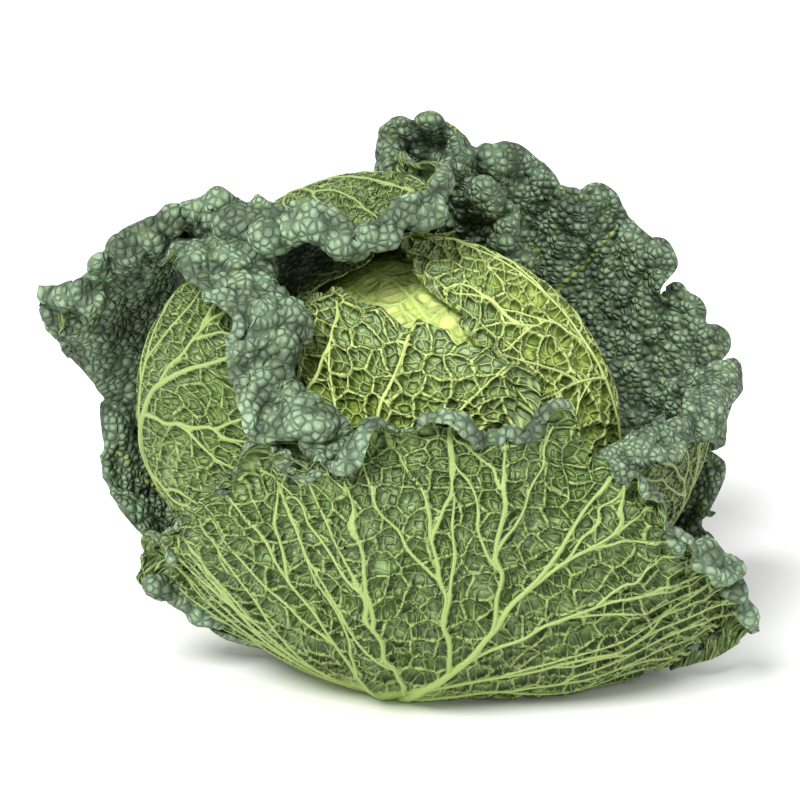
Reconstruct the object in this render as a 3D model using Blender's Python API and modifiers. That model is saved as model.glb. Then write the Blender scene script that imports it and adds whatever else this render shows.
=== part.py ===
"""Savoy cabbage: a tight head of wrapper leaves and nine loose outer leaves on one cut stalk.

Every leaf is a fan of lines that run from its foot on the stalk to its rim. The rim is a short list of
stations, each given as seen from the middle of the head: how far it climbs from the stalk towards the crown
(degrees), how far it swings left or right of the leaf's own azimuth (degrees), how far it reaches from the
middle of the head (mm), and the width (mm) and turn (degrees) of the margin that rolls back there.
"""

import math

import bmesh
import bpy
import numpy as np
from mathutils import Matrix, Vector, noise

# Driving dimensions, in metres and radians
HEAD_RADIUS = 0.0752
HEAD_PLEAT = 0.0008
STALK_LENGTH = 0.113
STALK_FOOT_RADIUS = 0.0158
STALK_TOP_RADIUS = 0.0230
STALK_RISE = 0.0022
STALK_BELOW_CUT = 0.012
TILT_TO_FRONT = math.radians(24)
LEAN_TO_RIGHT = math.radians(3)
BLADE_THICKNESS = 0.0010
RIB_THICKNESS = 0.0034
FLOOR_GAP = 0.0001
MILLIMETRE = 0.001

# The frame stands on the stalk's cut foot: +X to the right, +Y to the back, +Z up
AXIS = Vector(
    (
        math.sin(LEAN_TO_RIGHT),
        -math.sin(TILT_TO_FRONT) * math.cos(LEAN_TO_RIGHT),
        math.cos(TILT_TO_FRONT) * math.cos(LEAN_TO_RIGHT),
    )
)
MIDDLE = AXIS * STALK_LENGTH
FRONT = (Vector((0, -1, 0)) - AXIS * Vector((0, -1, 0)).dot(AXIS)).normalized()
RIGHT = AXIS.cross(FRONT)

# Relief: lengths in metres, the rest as shares
CURL_RADIUS = 0.0048
EDGE_CUT = 0.5
EDGE_CUT_STEP = 0.9
PIT_SHARE = 0.7
NET_START = 0.12
NET_FADE = 0.30
RUFFLE_LENGTH = 0.046
RUFFLE_SLOWER = 1.7
RUFFLE_START = 0.62
RIB_END = 0.7
RIM_STEP = 0.04

GREEN_OUTER = (0.16, 0.25, 0.10)
GREEN_DARK = (0.045, 0.10, 0.045)
GREEN_HEAD = (0.42, 0.52, 0.13)
GREEN_PALE = (0.55, 0.63, 0.22)
STALK_COLOUR = (0.60, 0.66, 0.38)

LEAVES = {
    "front_leaf": {
        "azimuth": 0, "foot": (12, 9, 105.5), "belly": (-7, 16, 0), "belly_at": 0.50, "flare": 1.2,
        "ruffle": 3.0, "net": 1.9, "grid": (28, 8, 3), "ribs": 4, "colour": GREEN_OUTER,
        "rim": (
            (28, -17, 110, 5, 20), (44, -37, 117, 6, 30), (53, -54, 136, 10, 70),
            (62, -60, 138, 11, 60), (80, -57, 130, 8, 50), (101, -52, 128, 7, 50),
            (117, -39, 123, 6, 50), (122, -26, 119, 8, 90), (123, -16, 122, 12, 140),
            (126, -8, 115, 7, 60), (130, -1, 114, 11, 110), (134, 7, 114, 22, 155),
            (133, 15, 116, 17, 145), (132, 23, 118, 9, 80), (127, 33, 124, 6, 50),
            (116, 42, 133, 10, 110), (99, 51, 144, 18, 140), (87, 61, 151, 19, 145),
            (70, 60, 156, 19, 145), (57, 55, 151, 12, 100), (43, 42, 139, 7, 40), (28, 18, 111, 5, 20),
        ),
    },
    "left_leaf": {
        "azimuth": -65, "foot": (14.5, 8, 98), "belly": (6, 17, 0), "belly_at": 0.68, "flare": 1.0,
        "ruffle": 1.2, "net": 1.7, "grid": (26, 8, 4), "ribs": 4, "colour": GREEN_OUTER,
        "rim": (
            (30, -16, 99, 5, 20), (56, -34, 107, 7, 30), (88, -44, 115, 8, 40), (116, -38, 123, 10, 70),
            (132, -33, 125, 34, 165), (137, -24, 121, 40, 170), (137, -12, 115, 40, 170),
            (135, 0, 109, 38, 170), (130, 13, 108, 33, 170), (129, 26, 104, 25, 165),
            (122, 38, 105, 12, 90), (90, 38, 103, 7, 30), (55, 26, 97.3, 6, 20), (30, 12, 95.6, 5, 20),
        ),
    },
    "hood_leaf": {
        "azimuth": -135, "foot": (12, 9, 104), "belly": (3, 16, 6), "belly_at": 0.60, "flare": 1.7,
        "ruffle": 2.5, "net": 2.0, "grid": (28, 8, 4), "ribs": 4, "colour": GREEN_OUTER,
        "rim": (
            (32, -12, 108, 5, 20), (60, -20, 121, 7, 30), (96, -22, 124, 8, 40), (125, -21, 118, 9, 50),
            (151, -16, 112, 14, 100), (169, -7, 112, 20, 140), (171, 7, 112, 21, 150),
            (162, 17, 116, 24, 155), (148, 23, 127, 25, 155), (136, 24, 142, 18, 145),
            (127, 27, 151, 13, 110), (117, 31, 160, 9, 80), (108, 34, 170, 8, 70),
            (100, 34, 181, 13, 110), (95, 28, 159, 8, 90), (85, 21, 140, 6, 30), (60, 14, 121, 6, 15),
            (34, 11, 107, 5, 20),
        ),
    },
    "back_right_leaf": {
        "azimuth": 145, "foot": (12, 9, 104), "belly": (0, -4, 3), "belly_at": 0.55, "flare": 1.5,
        "ruffle": 3.5, "net": 2.0, "grid": (24, 8, 2), "ribs": 4, "colour": GREEN_DARK,
        "rim": (
            (34, -12, 112, 5, 20), (56, -20, 134, 8, 30), (74, -22, 152, 10, 40), (83, -22, 157, 9, 40),
            (89, -17, 150, 9, 30), (92, -12, 142, 8, 30), (96, -10, 148, 10, 40),
            (101, -3, 145, 10, 40), (105, 3, 146, 10, 40), (107, 9, 139, 9, 40), (110, 14, 140, 10, 50),
            (113, 18, 140, 10, 50), (116, 23, 137, 10, 50), (119, 30, 134, 10, 50),
            (106, 31, 132, 9, 40), (82, 28, 126, 7, 30), (55, 20, 117, 6, 20), (32, 12, 108, 5, 20),
        ),
    },
    "right_leaf": {
        "azimuth": 85, "foot": (14.5, 8, 98), "belly": (3, 6, 4), "belly_at": 0.6, "flare": 1.2,
        "ruffle": 1.2, "net": 1.8, "grid": (20, 8, 3), "ribs": 4, "colour": GREEN_OUTER,
        "rim": (
            (32, -14, 100, 5, 20), (62, -32, 106, 6, 20), (96, -40, 111, 7, 30),
            (119, -34, 114, 18, 160), (117, -24, 115, 26, 168), (112, -12, 119, 28, 168),
            (107, 1, 124, 26, 165), (100, 11, 128, 16, 120), (88, 22, 125, 9, 50), (66, 24, 118, 7, 30),
            (36, 14, 102, 5, 20),
        ),
    },
    "crown_leaf": {
        "azimuth": 180, "foot": (14.5, 8, 98), "belly": (0, 0, 0), "belly_at": 0.5, "flare": 2.2,
        "ruffle": 2.5, "net": 1.8, "grid": (16, 8, 3), "ribs": 4, "colour": GREEN_DARK,
        "rim": (
            (34, -11, 99, 4, 10), (66, -17, 99, 5, 10), (102, -25, 100, 6, 20), (123, -22, 99, 8, 20),
            (131, -14, 110, 8, 40), (130, -5, 116, 7, 60), (127, -1, 138, 11, 100),
            (126, 5, 140, 11, 110), (121, 9, 136, 11, 80), (115, 11, 118, 7, 40), (98, 14, 108, 8, 30),
            (66, 17, 103, 6, 20), (34, 12, 100, 5, 20),
        ),
    },
    "far_left_leaf": {
        "azimuth": -110, "foot": (10.5, 5, 109.5), "belly": (6, 5, 4), "belly_at": 0.45, "flare": 0.85,
        "ruffle": 3.0, "net": 1.8, "grid": (14, 6, 2), "ribs": 4, "colour": GREEN_DARK,
        "rim": (
            (30, -7, 118, 5, 20), (50, -9, 139, 8, 30), (66, -8, 151, 9, 40),
            (73, -3, 158, 10, 40), (75, 4, 155, 10, 50), (70, 11, 154, 10, 50),
            (63, 18, 146, 10, 40), (50, 20, 134, 7, 30), (32, 12, 115, 5, 20),
        ),
    },
    "low_right_leaf": {
        "azimuth": 91, "foot": (10.5, 6, 109), "belly": (2, 2, 2), "belly_at": 0.5, "flare": 1.1,
        "ruffle": 3.0, "net": 1.8, "grid": (14, 6, 2), "ribs": 4, "colour": GREEN_DARK,
        "rim": (
            (30, -9, 116, 5, 20), (46, -14, 127, 6, 20), (58, -11, 134, 9, 40), (66, -4, 135, 9, 40),
            (70, -1, 131, 7, 40), (75, 3, 134, 8, 40), (79, 6, 129, 7, 40), (84, 8, 130, 8, 40),
            (89, 11, 135, 8, 40), (82, 15, 137, 8, 30), (56, 14, 132, 6, 20), (32, 10, 117, 5, 20),
        ),
    },
    "low_back_leaf": {
        "azimuth": -172, "foot": (10.5, 6, 109), "belly": (4, 4, 4), "belly_at": 0.45, "flare": 0.85,
        "ruffle": 3.0, "net": 2.0, "grid": (16, 8, 2), "ribs": 4, "colour": GREEN_OUTER,
        "rim": (
            (30, -10, 121, 5, 20), (52, -20, 142, 8, 30), (70, -25, 150, 10, 50),
            (80, -17, 160, 11, 60), (90, -12, 151, 12, 70), (86, -2, 160, 12, 70), (93, 6, 150, 11, 60),
            (82, 15, 158, 11, 60), (74, 23, 148, 10, 50), (54, 18, 145, 8, 30), (30, 10, 122, 5, 20),
        ),
    },
    "head_leaf_front": {
        "azimuth": -15, "foot": (17.8, 8, 87), "belly": (0, 1, 0), "belly_at": 0.5, "flare": 1.0,
        "ruffle": 0.6, "net": 1.0, "grid": (16, 8, 1), "ribs": 4, "colour": GREEN_HEAD,
        "rim": (
            (40, -25, 88.5, 4, 10), (90, -50, 88.5, 4, 10), (140, -52, 88.5, 4, 10),
            (173, -48, 88.5, 5, 20), (168, -29, 88.5, 5, 30), (161, -15, 88.5, 5, 30),
            (157, -3, 88.5, 5, 30), (160, 9, 88.5, 6, 50), (159, 22, 88.5, 7, 80),
            (151, 34, 88.5, 7, 60), (126, 36, 88.5, 5, 20), (80, 38, 88.5, 4, 10),
            (40, 22, 88.5, 4, 10),
        ),
    },
    "head_leaf_right": {
        "azimuth": 70, "foot": (18, 8, 83.5), "belly": (0, 0.5, 0), "belly_at": 0.5, "flare": 1.0,
        "ruffle": 0.4, "net": 1.0, "grid": (16, 8, 1), "ribs": 4, "colour": GREEN_HEAD,
        "rim": (
            (45, -20, 84, 4, 10), (90, -22, 84, 4, 10), (126, -19, 84, 4, 20), (144, -16, 84, 5, 40),
            (161, -13, 84, 6, 60), (177, -4, 84, 6, 60), (193, 12, 86, 6, 40), (197, 26, 86.5, 5, 20),
            (172, 44, 82.5, 4, 10), (120, 50, 80.5, 4, 10), (60, 30, 83, 4, 10),
        ),
    },
    "head_leaf_left": {
        "azimuth": -140, "foot": (18.8, 8, 79.5), "belly": (0, 0.4, 0), "belly_at": 0.5, "flare": 1.0,
        "ruffle": 0.3, "net": 0.6, "grid": (16, 8, 1), "ribs": 4, "colour": GREEN_PALE,
        "rim": (
            (45, -25, 79, 4, 10), (95, -40, 79, 4, 10), (140, -40, 79, 4, 10), (184, -36, 79.5, 4, 10),
            (212, -20, 79.5, 4, 10), (220, 2, 79.5, 4, 10), (200, 24, 79.5, 4, 10),
            (150, 44, 80, 4, 10), (100, 48, 80, 4, 10), (50, 30, 79, 4, 10),
        ),
    },
    "head_leaf_low_right": {
        "azimuth": 132, "foot": (16.8, 8, 87.5), "belly": (0, 1.5, 0), "belly_at": 0.5, "flare": 1.0,
        "ruffle": 0.4, "net": 0.9, "grid": (14, 8, 1), "ribs": 4, "colour": GREEN_HEAD,
        "rim": (
            (42, -20, 87.5, 4, 10), (85, -22, 86, 5, 20), (104, -20, 84, 5, 20), (114, -10, 83, 5, 20),
            (116, 4, 83, 5, 20), (110, 22, 83.5, 4, 10), (85, 30, 85.5, 4, 10), (42, 24, 87.5, 4, 10),
        ),
    },
    "head_leaf_back": {
        "azimuth": -142, "foot": (16.8, 8, 87.5), "belly": (0, 0, 0), "belly_at": 0.5, "flare": 1.0,
        "ruffle": 0.4, "net": 0.9, "grid": (14, 8, 1), "ribs": 4, "colour": GREEN_HEAD,
        "rim": (
            (42, -24, 87.5, 4, 10), (85, -36, 87.5, 4, 10), (120, -34, 87.5, 4, 10),
            (146, -20, 88, 5, 20), (152, 4, 88, 5, 20), (138, 28, 88, 4, 10), (95, 38, 88, 4, 10),
            (45, 26, 87.5, 4, 10),
        ),
    },
}


def smooth_through(stations, count):
    """count points along a smooth curve through the stations, evenly spaced along the rim."""
    points = np.array(stations, float)
    padded = np.vstack((2 * points[0] - points[1], points, 2 * points[-1] - points[-2]))
    steps = np.linspace(0, len(points) - 1, 40 * len(points))
    index = np.minimum(steps.astype(int), len(points) - 2)
    u = (steps - index)[:, None]
    before, start, end, after = (padded[index + k] for k in range(4))
    curve = start + 0.5 * u * (
        (end - before)
        + u * ((2 * before - 5 * start + 4 * end - after) + u * (3 * (start - end) + after - before))
    )
    travel = np.linalg.norm(np.diff(curve[:, :2], axis=0), axis=1)
    length = np.concatenate(([0], np.cumsum(travel)))
    wanted = np.linspace(0, length[-1], count)
    return np.stack([np.interp(wanted, length, column) for column in curve.T], axis=1)


def from_middle(azimuth, climb, swing, reach):
    """Points at these angles (degrees) and reach (mm) from the middle of the head, in metres."""
    outward = np.array(FRONT) * math.cos(azimuth) + np.array(RIGHT) * math.sin(azimuth)
    sideways = np.array(RIGHT) * math.cos(azimuth) - np.array(FRONT) * math.sin(azimuth)
    climb, swing = np.radians(climb)[..., None], np.radians(swing)[..., None]
    direction = (
        np.cos(swing) * (np.sin(climb) * outward - np.cos(climb) * np.array(AXIS))
        + np.sin(swing) * sideways
    )
    return np.array(MIDDLE) + direction * (np.asarray(reach) * MILLIMETRE)[..., None]


def fan(leaf, q, rim):
    """The leaf's points at the shares q of the way from its foot to its rim."""
    foot_climb, foot_half, foot_reach = leaf["foot"]
    side = np.linspace(-1, 1, len(rim))
    q = np.asarray(q)[:, None]
    climb = foot_climb + (rim[None, :, 0] - foot_climb) * q
    swing = foot_half * side + (rim[None, :, 1] - foot_half * side) * q
    belly = np.interp(np.linspace(-1, 1, len(rim)), (-1, 0, 1), leaf["belly"])
    swell = np.sin(math.pi * q ** (math.log(0.5) / math.log(leaf["belly_at"])))
    reach = foot_reach + (rim[None, :, 2] - foot_reach) * q ** leaf["flare"] + belly * swell
    return from_middle(math.radians(leaf["azimuth"]), climb, swing, reach)


def unit(vectors):
    return vectors / np.maximum(np.linalg.norm(vectors, axis=-1, keepdims=True), 1e-12)


def sheet_of(leaf, columns, rows, curl_rows):
    """The leaf's middle surface: a grid of points from its foot to its rim and on round the rolled margin."""
    rim = smooth_through(leaf["rim"], columns + 1)
    q = np.linspace(0, 1, rows + 1)
    blade = fan(leaf, q, rim)
    ahead = unit(blade[-1] - fan(leaf, [1 - RIM_STEP], rim)[0])
    along = unit(np.gradient(blade[-1], axis=0))
    ahead = unit(ahead - along * (ahead * along).sum(-1, keepdims=True))
    outward = np.cross(along, ahead)
    outward = -outward if (outward * (blade[-1] - np.array(MIDDLE))).sum() < 0 else outward
    places = [Vector((k * EDGE_CUT_STEP, leaf["azimuth"], 0)) for k in range(columns + 1)]
    cut = np.array([noise.noise(place) for place in places])
    width, turn = rim[:, 3] * (1 + EDGE_CUT * cut) * MILLIMETRE, np.radians(rim[:, 4])
    radius = np.minimum(CURL_RADIUS, width / np.maximum(np.abs(turn), 1e-3))
    rings = [blade]
    for step in range(1, curl_rows + 1):
        gone = width * step / curl_rows
        angle = np.minimum(gone / radius, np.abs(turn))
        rest = gone - angle * radius
        forth = radius * np.sin(angle) + rest * np.cos(angle)
        out = (radius * (1 - np.cos(angle)) + rest * np.sin(angle)) * np.sign(turn)
        rings.append((blade[-1] + ahead * forth[:, None] + outward * out[:, None])[None])
    return np.concatenate(rings)


def normals_of(grid):
    """Unit normals of a grid of points, away from the middle of the head where the leaf hugs it."""
    normal = unit(np.cross(np.gradient(grid, axis=1), np.gradient(grid, axis=0)))
    hug = grid[: len(grid) // 2] - np.array(MIDDLE)
    return -normal if (normal[: len(grid) // 2] * hug).sum() < 0 else normal


def raised(leaf, ring, column):
    """Whether a point of the grid is on the raised net: every second point, and all of each main rib."""
    return (ring + column) % 2 == 0 or column % leaf["ribs"] == leaf["ribs"] // 2


def relief(leaf, grid, rows, seed):
    """How far each point stands out of the smooth leaf, in metres: the raised net and the rim's ruffle."""
    rings, columns = grid.shape[:2]
    q = np.minimum(np.arange(rings) / rows, 1)[:, None]
    net = np.array([[1 if raised(leaf, i, j) else -PIT_SHARE for j in range(columns)] for i in range(rings)])
    edge_length = np.linalg.norm(np.diff(grid[rows], axis=0), axis=1)
    travel = np.concatenate(([0], np.cumsum(edge_length)))
    turns = 2 * math.pi * travel / RUFFLE_LENGTH
    wave = np.sin(turns + seed) + 0.5 * np.sin(turns / RUFFLE_SLOWER + 2 * seed)
    near_rim = np.clip((q - RUFFLE_START) / (1 - RUFFLE_START), 0, 1) ** 2
    body = np.clip((q - NET_START) / NET_FADE, 0, 1)
    return (net * leaf["net"] * body + wave * leaf["ruffle"] * near_rim) * MILLIMETRE


def add_material(thing, name, colour, roughness):
    material = bpy.data.materials.new(name)
    material.use_nodes = True
    shader = material.node_tree.nodes["Principled BSDF"]
    shader.inputs["Base Color"].default_value = (*colour, 1)
    shader.inputs["Roughness"].default_value = roughness
    shader.inputs["Metallic"].default_value = 0
    thing.data.materials.append(material)


def add_leaf(collection, name, leaf, seed):
    """A flat grid bent into the leaf, then given its thickness: a thick rib at the foot, a thin blade."""
    columns, rows, curl_rows = leaf["grid"]
    grid = sheet_of(leaf, columns, rows, curl_rows)
    grid = grid + normals_of(grid) * relief(leaf, grid, rows, seed)[..., None]
    flat = bmesh.new()
    bmesh.ops.create_grid(flat, x_segments=columns, y_segments=rows + curl_rows, size=1)
    place = {}
    for vertex in flat.verts:
        column = round((vertex.co.x + 1) / 2 * columns)
        ring = round((vertex.co.y + 1) / 2 * (rows + curl_rows))
        place[vertex] = (ring, column)
        vertex.co = grid[ring, column]
    for face in list(flat.faces):
        corners = sorted(face.verts, key=lambda vertex: sum(place[vertex]))
        low_pair = (corners[0], corners[3])
        pair = low_pair if sum(place[corners[0]]) % 2 == 0 else (corners[1], corners[2])
        bmesh.utils.face_split(face, *pair)
    flat.verts.index_update()
    share = {}
    for vertex, (ring, column) in place.items():
        across = abs(2 * column / columns - 1)
        share[vertex.index] = max(0.0, 1 - ring / (RIB_END * rows)) * max(0.0, 1 - across**2)
        half = (BLADE_THICKNESS + (RIB_THICKNESS - BLADE_THICKNESS) * share[vertex.index]) / 2
        vertex.co.z = max(vertex.co.z, half + FLOOR_GAP)
    mesh = bpy.data.meshes.new(name)
    flat.to_mesh(mesh)
    flat.free()
    thing = bpy.data.objects.new(name, mesh)
    collection.objects.link(thing)
    group = thing.vertex_groups.new(name="rib")
    for index, weight in share.items():
        group.add([index], weight, "REPLACE")
    solidify = thing.modifiers.new("thickness", "SOLIDIFY")
    solidify.thickness = RIB_THICKNESS
    solidify.offset = 0
    solidify.vertex_group = group.name
    solidify.thickness_vertex_group = BLADE_THICKNESS / RIB_THICKNESS
    add_material(thing, name, leaf["colour"], 0.6)
    return thing


def add_heart(collection):
    """The dense heart of the head, pleated like the inner leaves folded over each other."""
    heart = bmesh.new()
    bmesh.ops.create_uvsphere(heart, u_segments=20, v_segments=12, radius=HEAD_RADIUS)
    for vertex in heart.verts:
        height = vertex.co.z / HEAD_RADIUS
        twist = math.atan2(vertex.co.y, vertex.co.x) + 1.2 * height
        pleat = HEAD_PLEAT * math.sin(5 * twist) * (1 - height**2)
        vertex.co *= 1 - 0.04 * max(0.0, -height) + (pleat - HEAD_PLEAT) / HEAD_RADIUS
    mesh = bpy.data.meshes.new("heart")
    heart.to_mesh(mesh)
    heart.free()
    thing = bpy.data.objects.new("heart", mesh)
    thing.location = MIDDLE
    thing.rotation_euler = AXIS.to_track_quat("Z", "Y").to_euler()
    collection.objects.link(thing)
    add_material(thing, "heart", GREEN_PALE, 0.5)
    return thing


def add_stalk(collection):
    """The cut stalk: it leans with the head, and its foot is cut flat where it stands."""
    top = STALK_LENGTH - HEAD_RADIUS + STALK_RISE
    stalk = bmesh.new()
    bmesh.ops.create_cone(
        stalk, cap_ends=True, segments=24, depth=top + STALK_BELOW_CUT,
        radius1=STALK_FOOT_RADIUS, radius2=STALK_TOP_RADIUS,
    )
    lean = AXIS.to_track_quat("Z", "Y").to_matrix().to_4x4()
    middle = (top - STALK_BELOW_CUT) / 2
    bmesh.ops.transform(stalk, matrix=lean @ Matrix.Translation((0, 0, middle)), verts=stalk.verts)
    cut = bmesh.ops.bisect_plane(
        stalk, geom=stalk.verts[:] + stalk.edges[:] + stalk.faces[:], plane_co=(0, 0, 0), plane_no=(0, 0, 1),
        clear_inner=True,
    )
    bmesh.ops.contextual_create(stalk, geom=[e for e in cut["geom_cut"] if isinstance(e, bmesh.types.BMEdge)])
    bmesh.ops.recalc_face_normals(stalk, faces=stalk.faces)
    mesh = bpy.data.meshes.new("stalk")
    stalk.to_mesh(mesh)
    stalk.free()
    thing = bpy.data.objects.new("stalk", mesh)
    collection.objects.link(thing)
    add_material(thing, "stalk", STALK_COLOUR, 0.6)
    return thing


def main():
    for old in list(bpy.data.objects):
        bpy.data.objects.remove(old)
    collection = bpy.data.collections.new("savoy_cabbage")
    bpy.context.scene.collection.children.link(collection)
    add_stalk(collection)
    add_heart(collection)
    for number, (name, leaf) in enumerate(LEAVES.items()):
        add_leaf(collection, name, leaf, 1.7 * number + 0.4)


main()
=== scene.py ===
"""Savoy cabbage, dressed: its leaves with their ribs, net veins, blisters and rolled rims, on a studio floor.

Each leaf is the frame's own leaf again on a much finer grid: the same fan of lines that run from its foot
to its rim and on round the rolled margin. The grid is then laid out flat as a leaf map in millimetres. On
that map ribs spread from the leaf's base and fork towards the rim, and a net of smaller veins joins them. The
blade sinks between the veins on its outer face, and swells in clumps of blisters on its inner face.
"""

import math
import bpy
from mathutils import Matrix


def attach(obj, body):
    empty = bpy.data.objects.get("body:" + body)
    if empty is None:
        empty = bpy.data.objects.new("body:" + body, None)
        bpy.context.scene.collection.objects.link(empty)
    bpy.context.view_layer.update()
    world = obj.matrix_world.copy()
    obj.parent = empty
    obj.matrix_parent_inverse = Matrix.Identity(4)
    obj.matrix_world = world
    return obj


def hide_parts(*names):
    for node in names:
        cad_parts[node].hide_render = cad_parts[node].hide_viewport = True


bl_info = {
    "name": "Savoy Cabbage",
    "version": (1, 0, 0),
    "blender": (4, 5, 0),
    "location": "View3D > Sidebar > Cabbage",
    "description": "Grows the leaves of a savoy cabbage, with their veins, blisters and colours",
    "category": "Object",
}

import bpy
import numpy as np
from mathutils import Vector, noise

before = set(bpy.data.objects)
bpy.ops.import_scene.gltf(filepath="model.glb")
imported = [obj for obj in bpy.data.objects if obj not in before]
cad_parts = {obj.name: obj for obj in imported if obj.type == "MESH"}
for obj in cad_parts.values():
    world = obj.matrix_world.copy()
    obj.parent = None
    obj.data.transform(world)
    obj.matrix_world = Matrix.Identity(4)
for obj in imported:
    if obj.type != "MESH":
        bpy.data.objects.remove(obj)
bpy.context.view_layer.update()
MILLIMETRE = 0.001

# The head's middle and its own directions, from the frame's stalk length and lean
STALK_LENGTH = 0.113
TILT_TO_FRONT = math.radians(24)
LEAN_TO_RIGHT = math.radians(3)
AXIS = np.array(
    (
        math.sin(LEAN_TO_RIGHT),
        -math.sin(TILT_TO_FRONT) * math.cos(LEAN_TO_RIGHT),
        math.cos(TILT_TO_FRONT) * math.cos(LEAN_TO_RIGHT),
    )
)
MIDDLE = AXIS * STALK_LENGTH
FRONT = np.array((0.0, -1.0, 0.0)) + AXIS * AXIS[1]
FRONT /= np.linalg.norm(FRONT)
RIGHT = np.cross(AXIS, FRONT)

# The frame's own relief, repeated so that the fine leaf follows the solid one
CURL_RADIUS = 4.8
EDGE_CUT = 0.5
EDGE_CUT_STEP = 0.9
RUFFLE_LENGTH = 46.0
RUFFLE_SLOWER = 1.7
RUFFLE_START = 0.62
RIM_STEP = 0.04
FLOOR_GAP = 0.1

# The fine grids: their columns come in this many at a time, and a point's place is first looked for on every
# eighth point. An inner face coarser than this (mm) lies flat behind the veins
COLUMN_STEP = 16
COARSE_STEP = 8
COARSE_INNER = 2.6

# Ribs: how far to its side a rib is felt and how far it moves to follow the net (mm), what it costs to lie
# off the path and to swerve, and the tips' radii (mm). A rib's tube has so many sides and, as shares of its
# radius, is so wide at its start and end, rises so far out of the blade and lies so far under its face
RIB_REACH = 12.0
FOLLOW_REACH = 3.6
OFF_PATH, SWERVE = 0.15, 0.8
MIDRIB_TIP, RIB_TIP, FORK_TIP = 0.6, 0.5, 0.42
RIB_SIDES = 6
TUBE_START, TUBE_END, TUBE_RISE, TUBE_SINK = 0.6, 0.4, 0.85, 0.25

# Where ribs go: the share of the rim without ribs at either end, how uneven their gaps are, how far from the
# midrib (degrees) they aim when they leave near the base, and how much thinner those near the tip are. A fork
# leaves its rib after the point of this number, or up to so many later, to this side
RIM_MARGIN = 0.03
UNEVEN = 0.16
BASE_TURN = 38
TIP_THINNER = 0.35
FORKS = ((10, 3, 1), (16, 4, -1), (23, 3, 1))
FORK_RADIUS = 0.66

# Noises, each as its height, its length (mm) and its draw: of the outline's lobes, the rolled rim's turn and
# radius, the crumples along the rim, the net's bends, the ribs' sway, the pale base's outline and the clumps.
# Then what the draws of all of them are made from
LOBES = ((0.7, 24, 0), (0.6, 9, 1), (0.4, 4.5, 4))
TURNS = ((0.16, 30, 2),)
RADII = ((0.3, 22, 3),)
CRUMPLES = ((1, 15, 8), (0.55, 7.5, 9))
BENDS = ((2.2, 13, 11), (0.8, 5, 13))
SWAY = (1.3, 12, 5)
HUB_OUTLINE = ((6, 7, 15),)
CLUMP_HEIGHTS = ((0.3, 14, 16),)
SCATTER_WAVES = (127.1, 311.7, 74.7, 43758.5453)

# Where the relief starts and where it is full: mm from a rib or the net, from a small vein, from the pale
# base and from the thin edge, the length (mm) of the fan's lines for lobes, then shares of the way to the rim
QUILT_EDGE = (0.4, 3.1)
PIT_EDGE = (0.2, 1.7)
HUB_EDGE = (10, 20)
THIN_EDGE = (0, 2.0)
LOBED_LINE = (25, 70)
PALE_FOOT = (0.06, 0.2)
ROLLED_FROM = (0.90, 1.0)
FLAT_BEHIND = (0.84, 0.97)

# The blade's section: how far (mm) its inner face lies under the middle surface at the veins, what it adds
# between them and behind a coarse face, and its least thickness. Then, as shares, its thickness at the edge,
# what it gains at the base, how much shallower pits are on the rolled rim, and how far they are lifted
UNDER_VEINS, UNDER_BLADE, FAR_BEHIND = 0.2, 0.3, 0.8
LEAST_THICKNESS = 0.3
EDGE_THICKNESS = 0.3
BASE_THICKER = 1.5
ROLLED_SHALLOWER = 0.6
LIFT = 0.35

# Cells that the mesh and the materials share: the nets, flat on the leaf map, are measured to their borders.
# The blisters, in the leaf itself, are measured from their middles and their creases to their borders. Each
# leaf has its own stretch of the net and of the blisters, this far on (mm) for each step of its seed
NET_CELLS = {"voronoi_dimensions": "2D", "feature": "DISTANCE_TO_EDGE"}
BLISTER_CELLS = {"voronoi_dimensions": "3D", "feature": "F1"}
CREASE_CELLS = {"voronoi_dimensions": "3D", "feature": "DISTANCE_TO_EDGE"}
CELL_RANDOMNESS = 0.85
DOME_RADIUS = 0.6
CREASE_WIDTH = 0.16
NET_SHIFT = 200
BLISTER_SHIFT = 300

# The stalk: how its fibres are stretched, and the radius of the ring in its cut face (metres)
FIBRES = (900, 900, 60)
WOOD_RING = 0.011

# The photograph's camera: its height above level, its distance and how wide it sees
CAMERA_ELEVATION = math.radians(18)
CAMERA_DISTANCE = 1.6
PICTURE_PIXELS = 800
METRES_PER_PIXEL = 0.00045
MIDDLE_AT_PIXEL = (430, 430)
SENSOR_WIDTH = 36

# The studio: how bright it is all round, and each light's side, softness (degrees) and strength
WORLD_STRENGTH = 0.70
LIGHTS = {"key": ((-0.50, -0.92, 1.12), 24, 3.3), "fill": ((0.9, -0.9, 0.8), 50, 0.4)}

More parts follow.
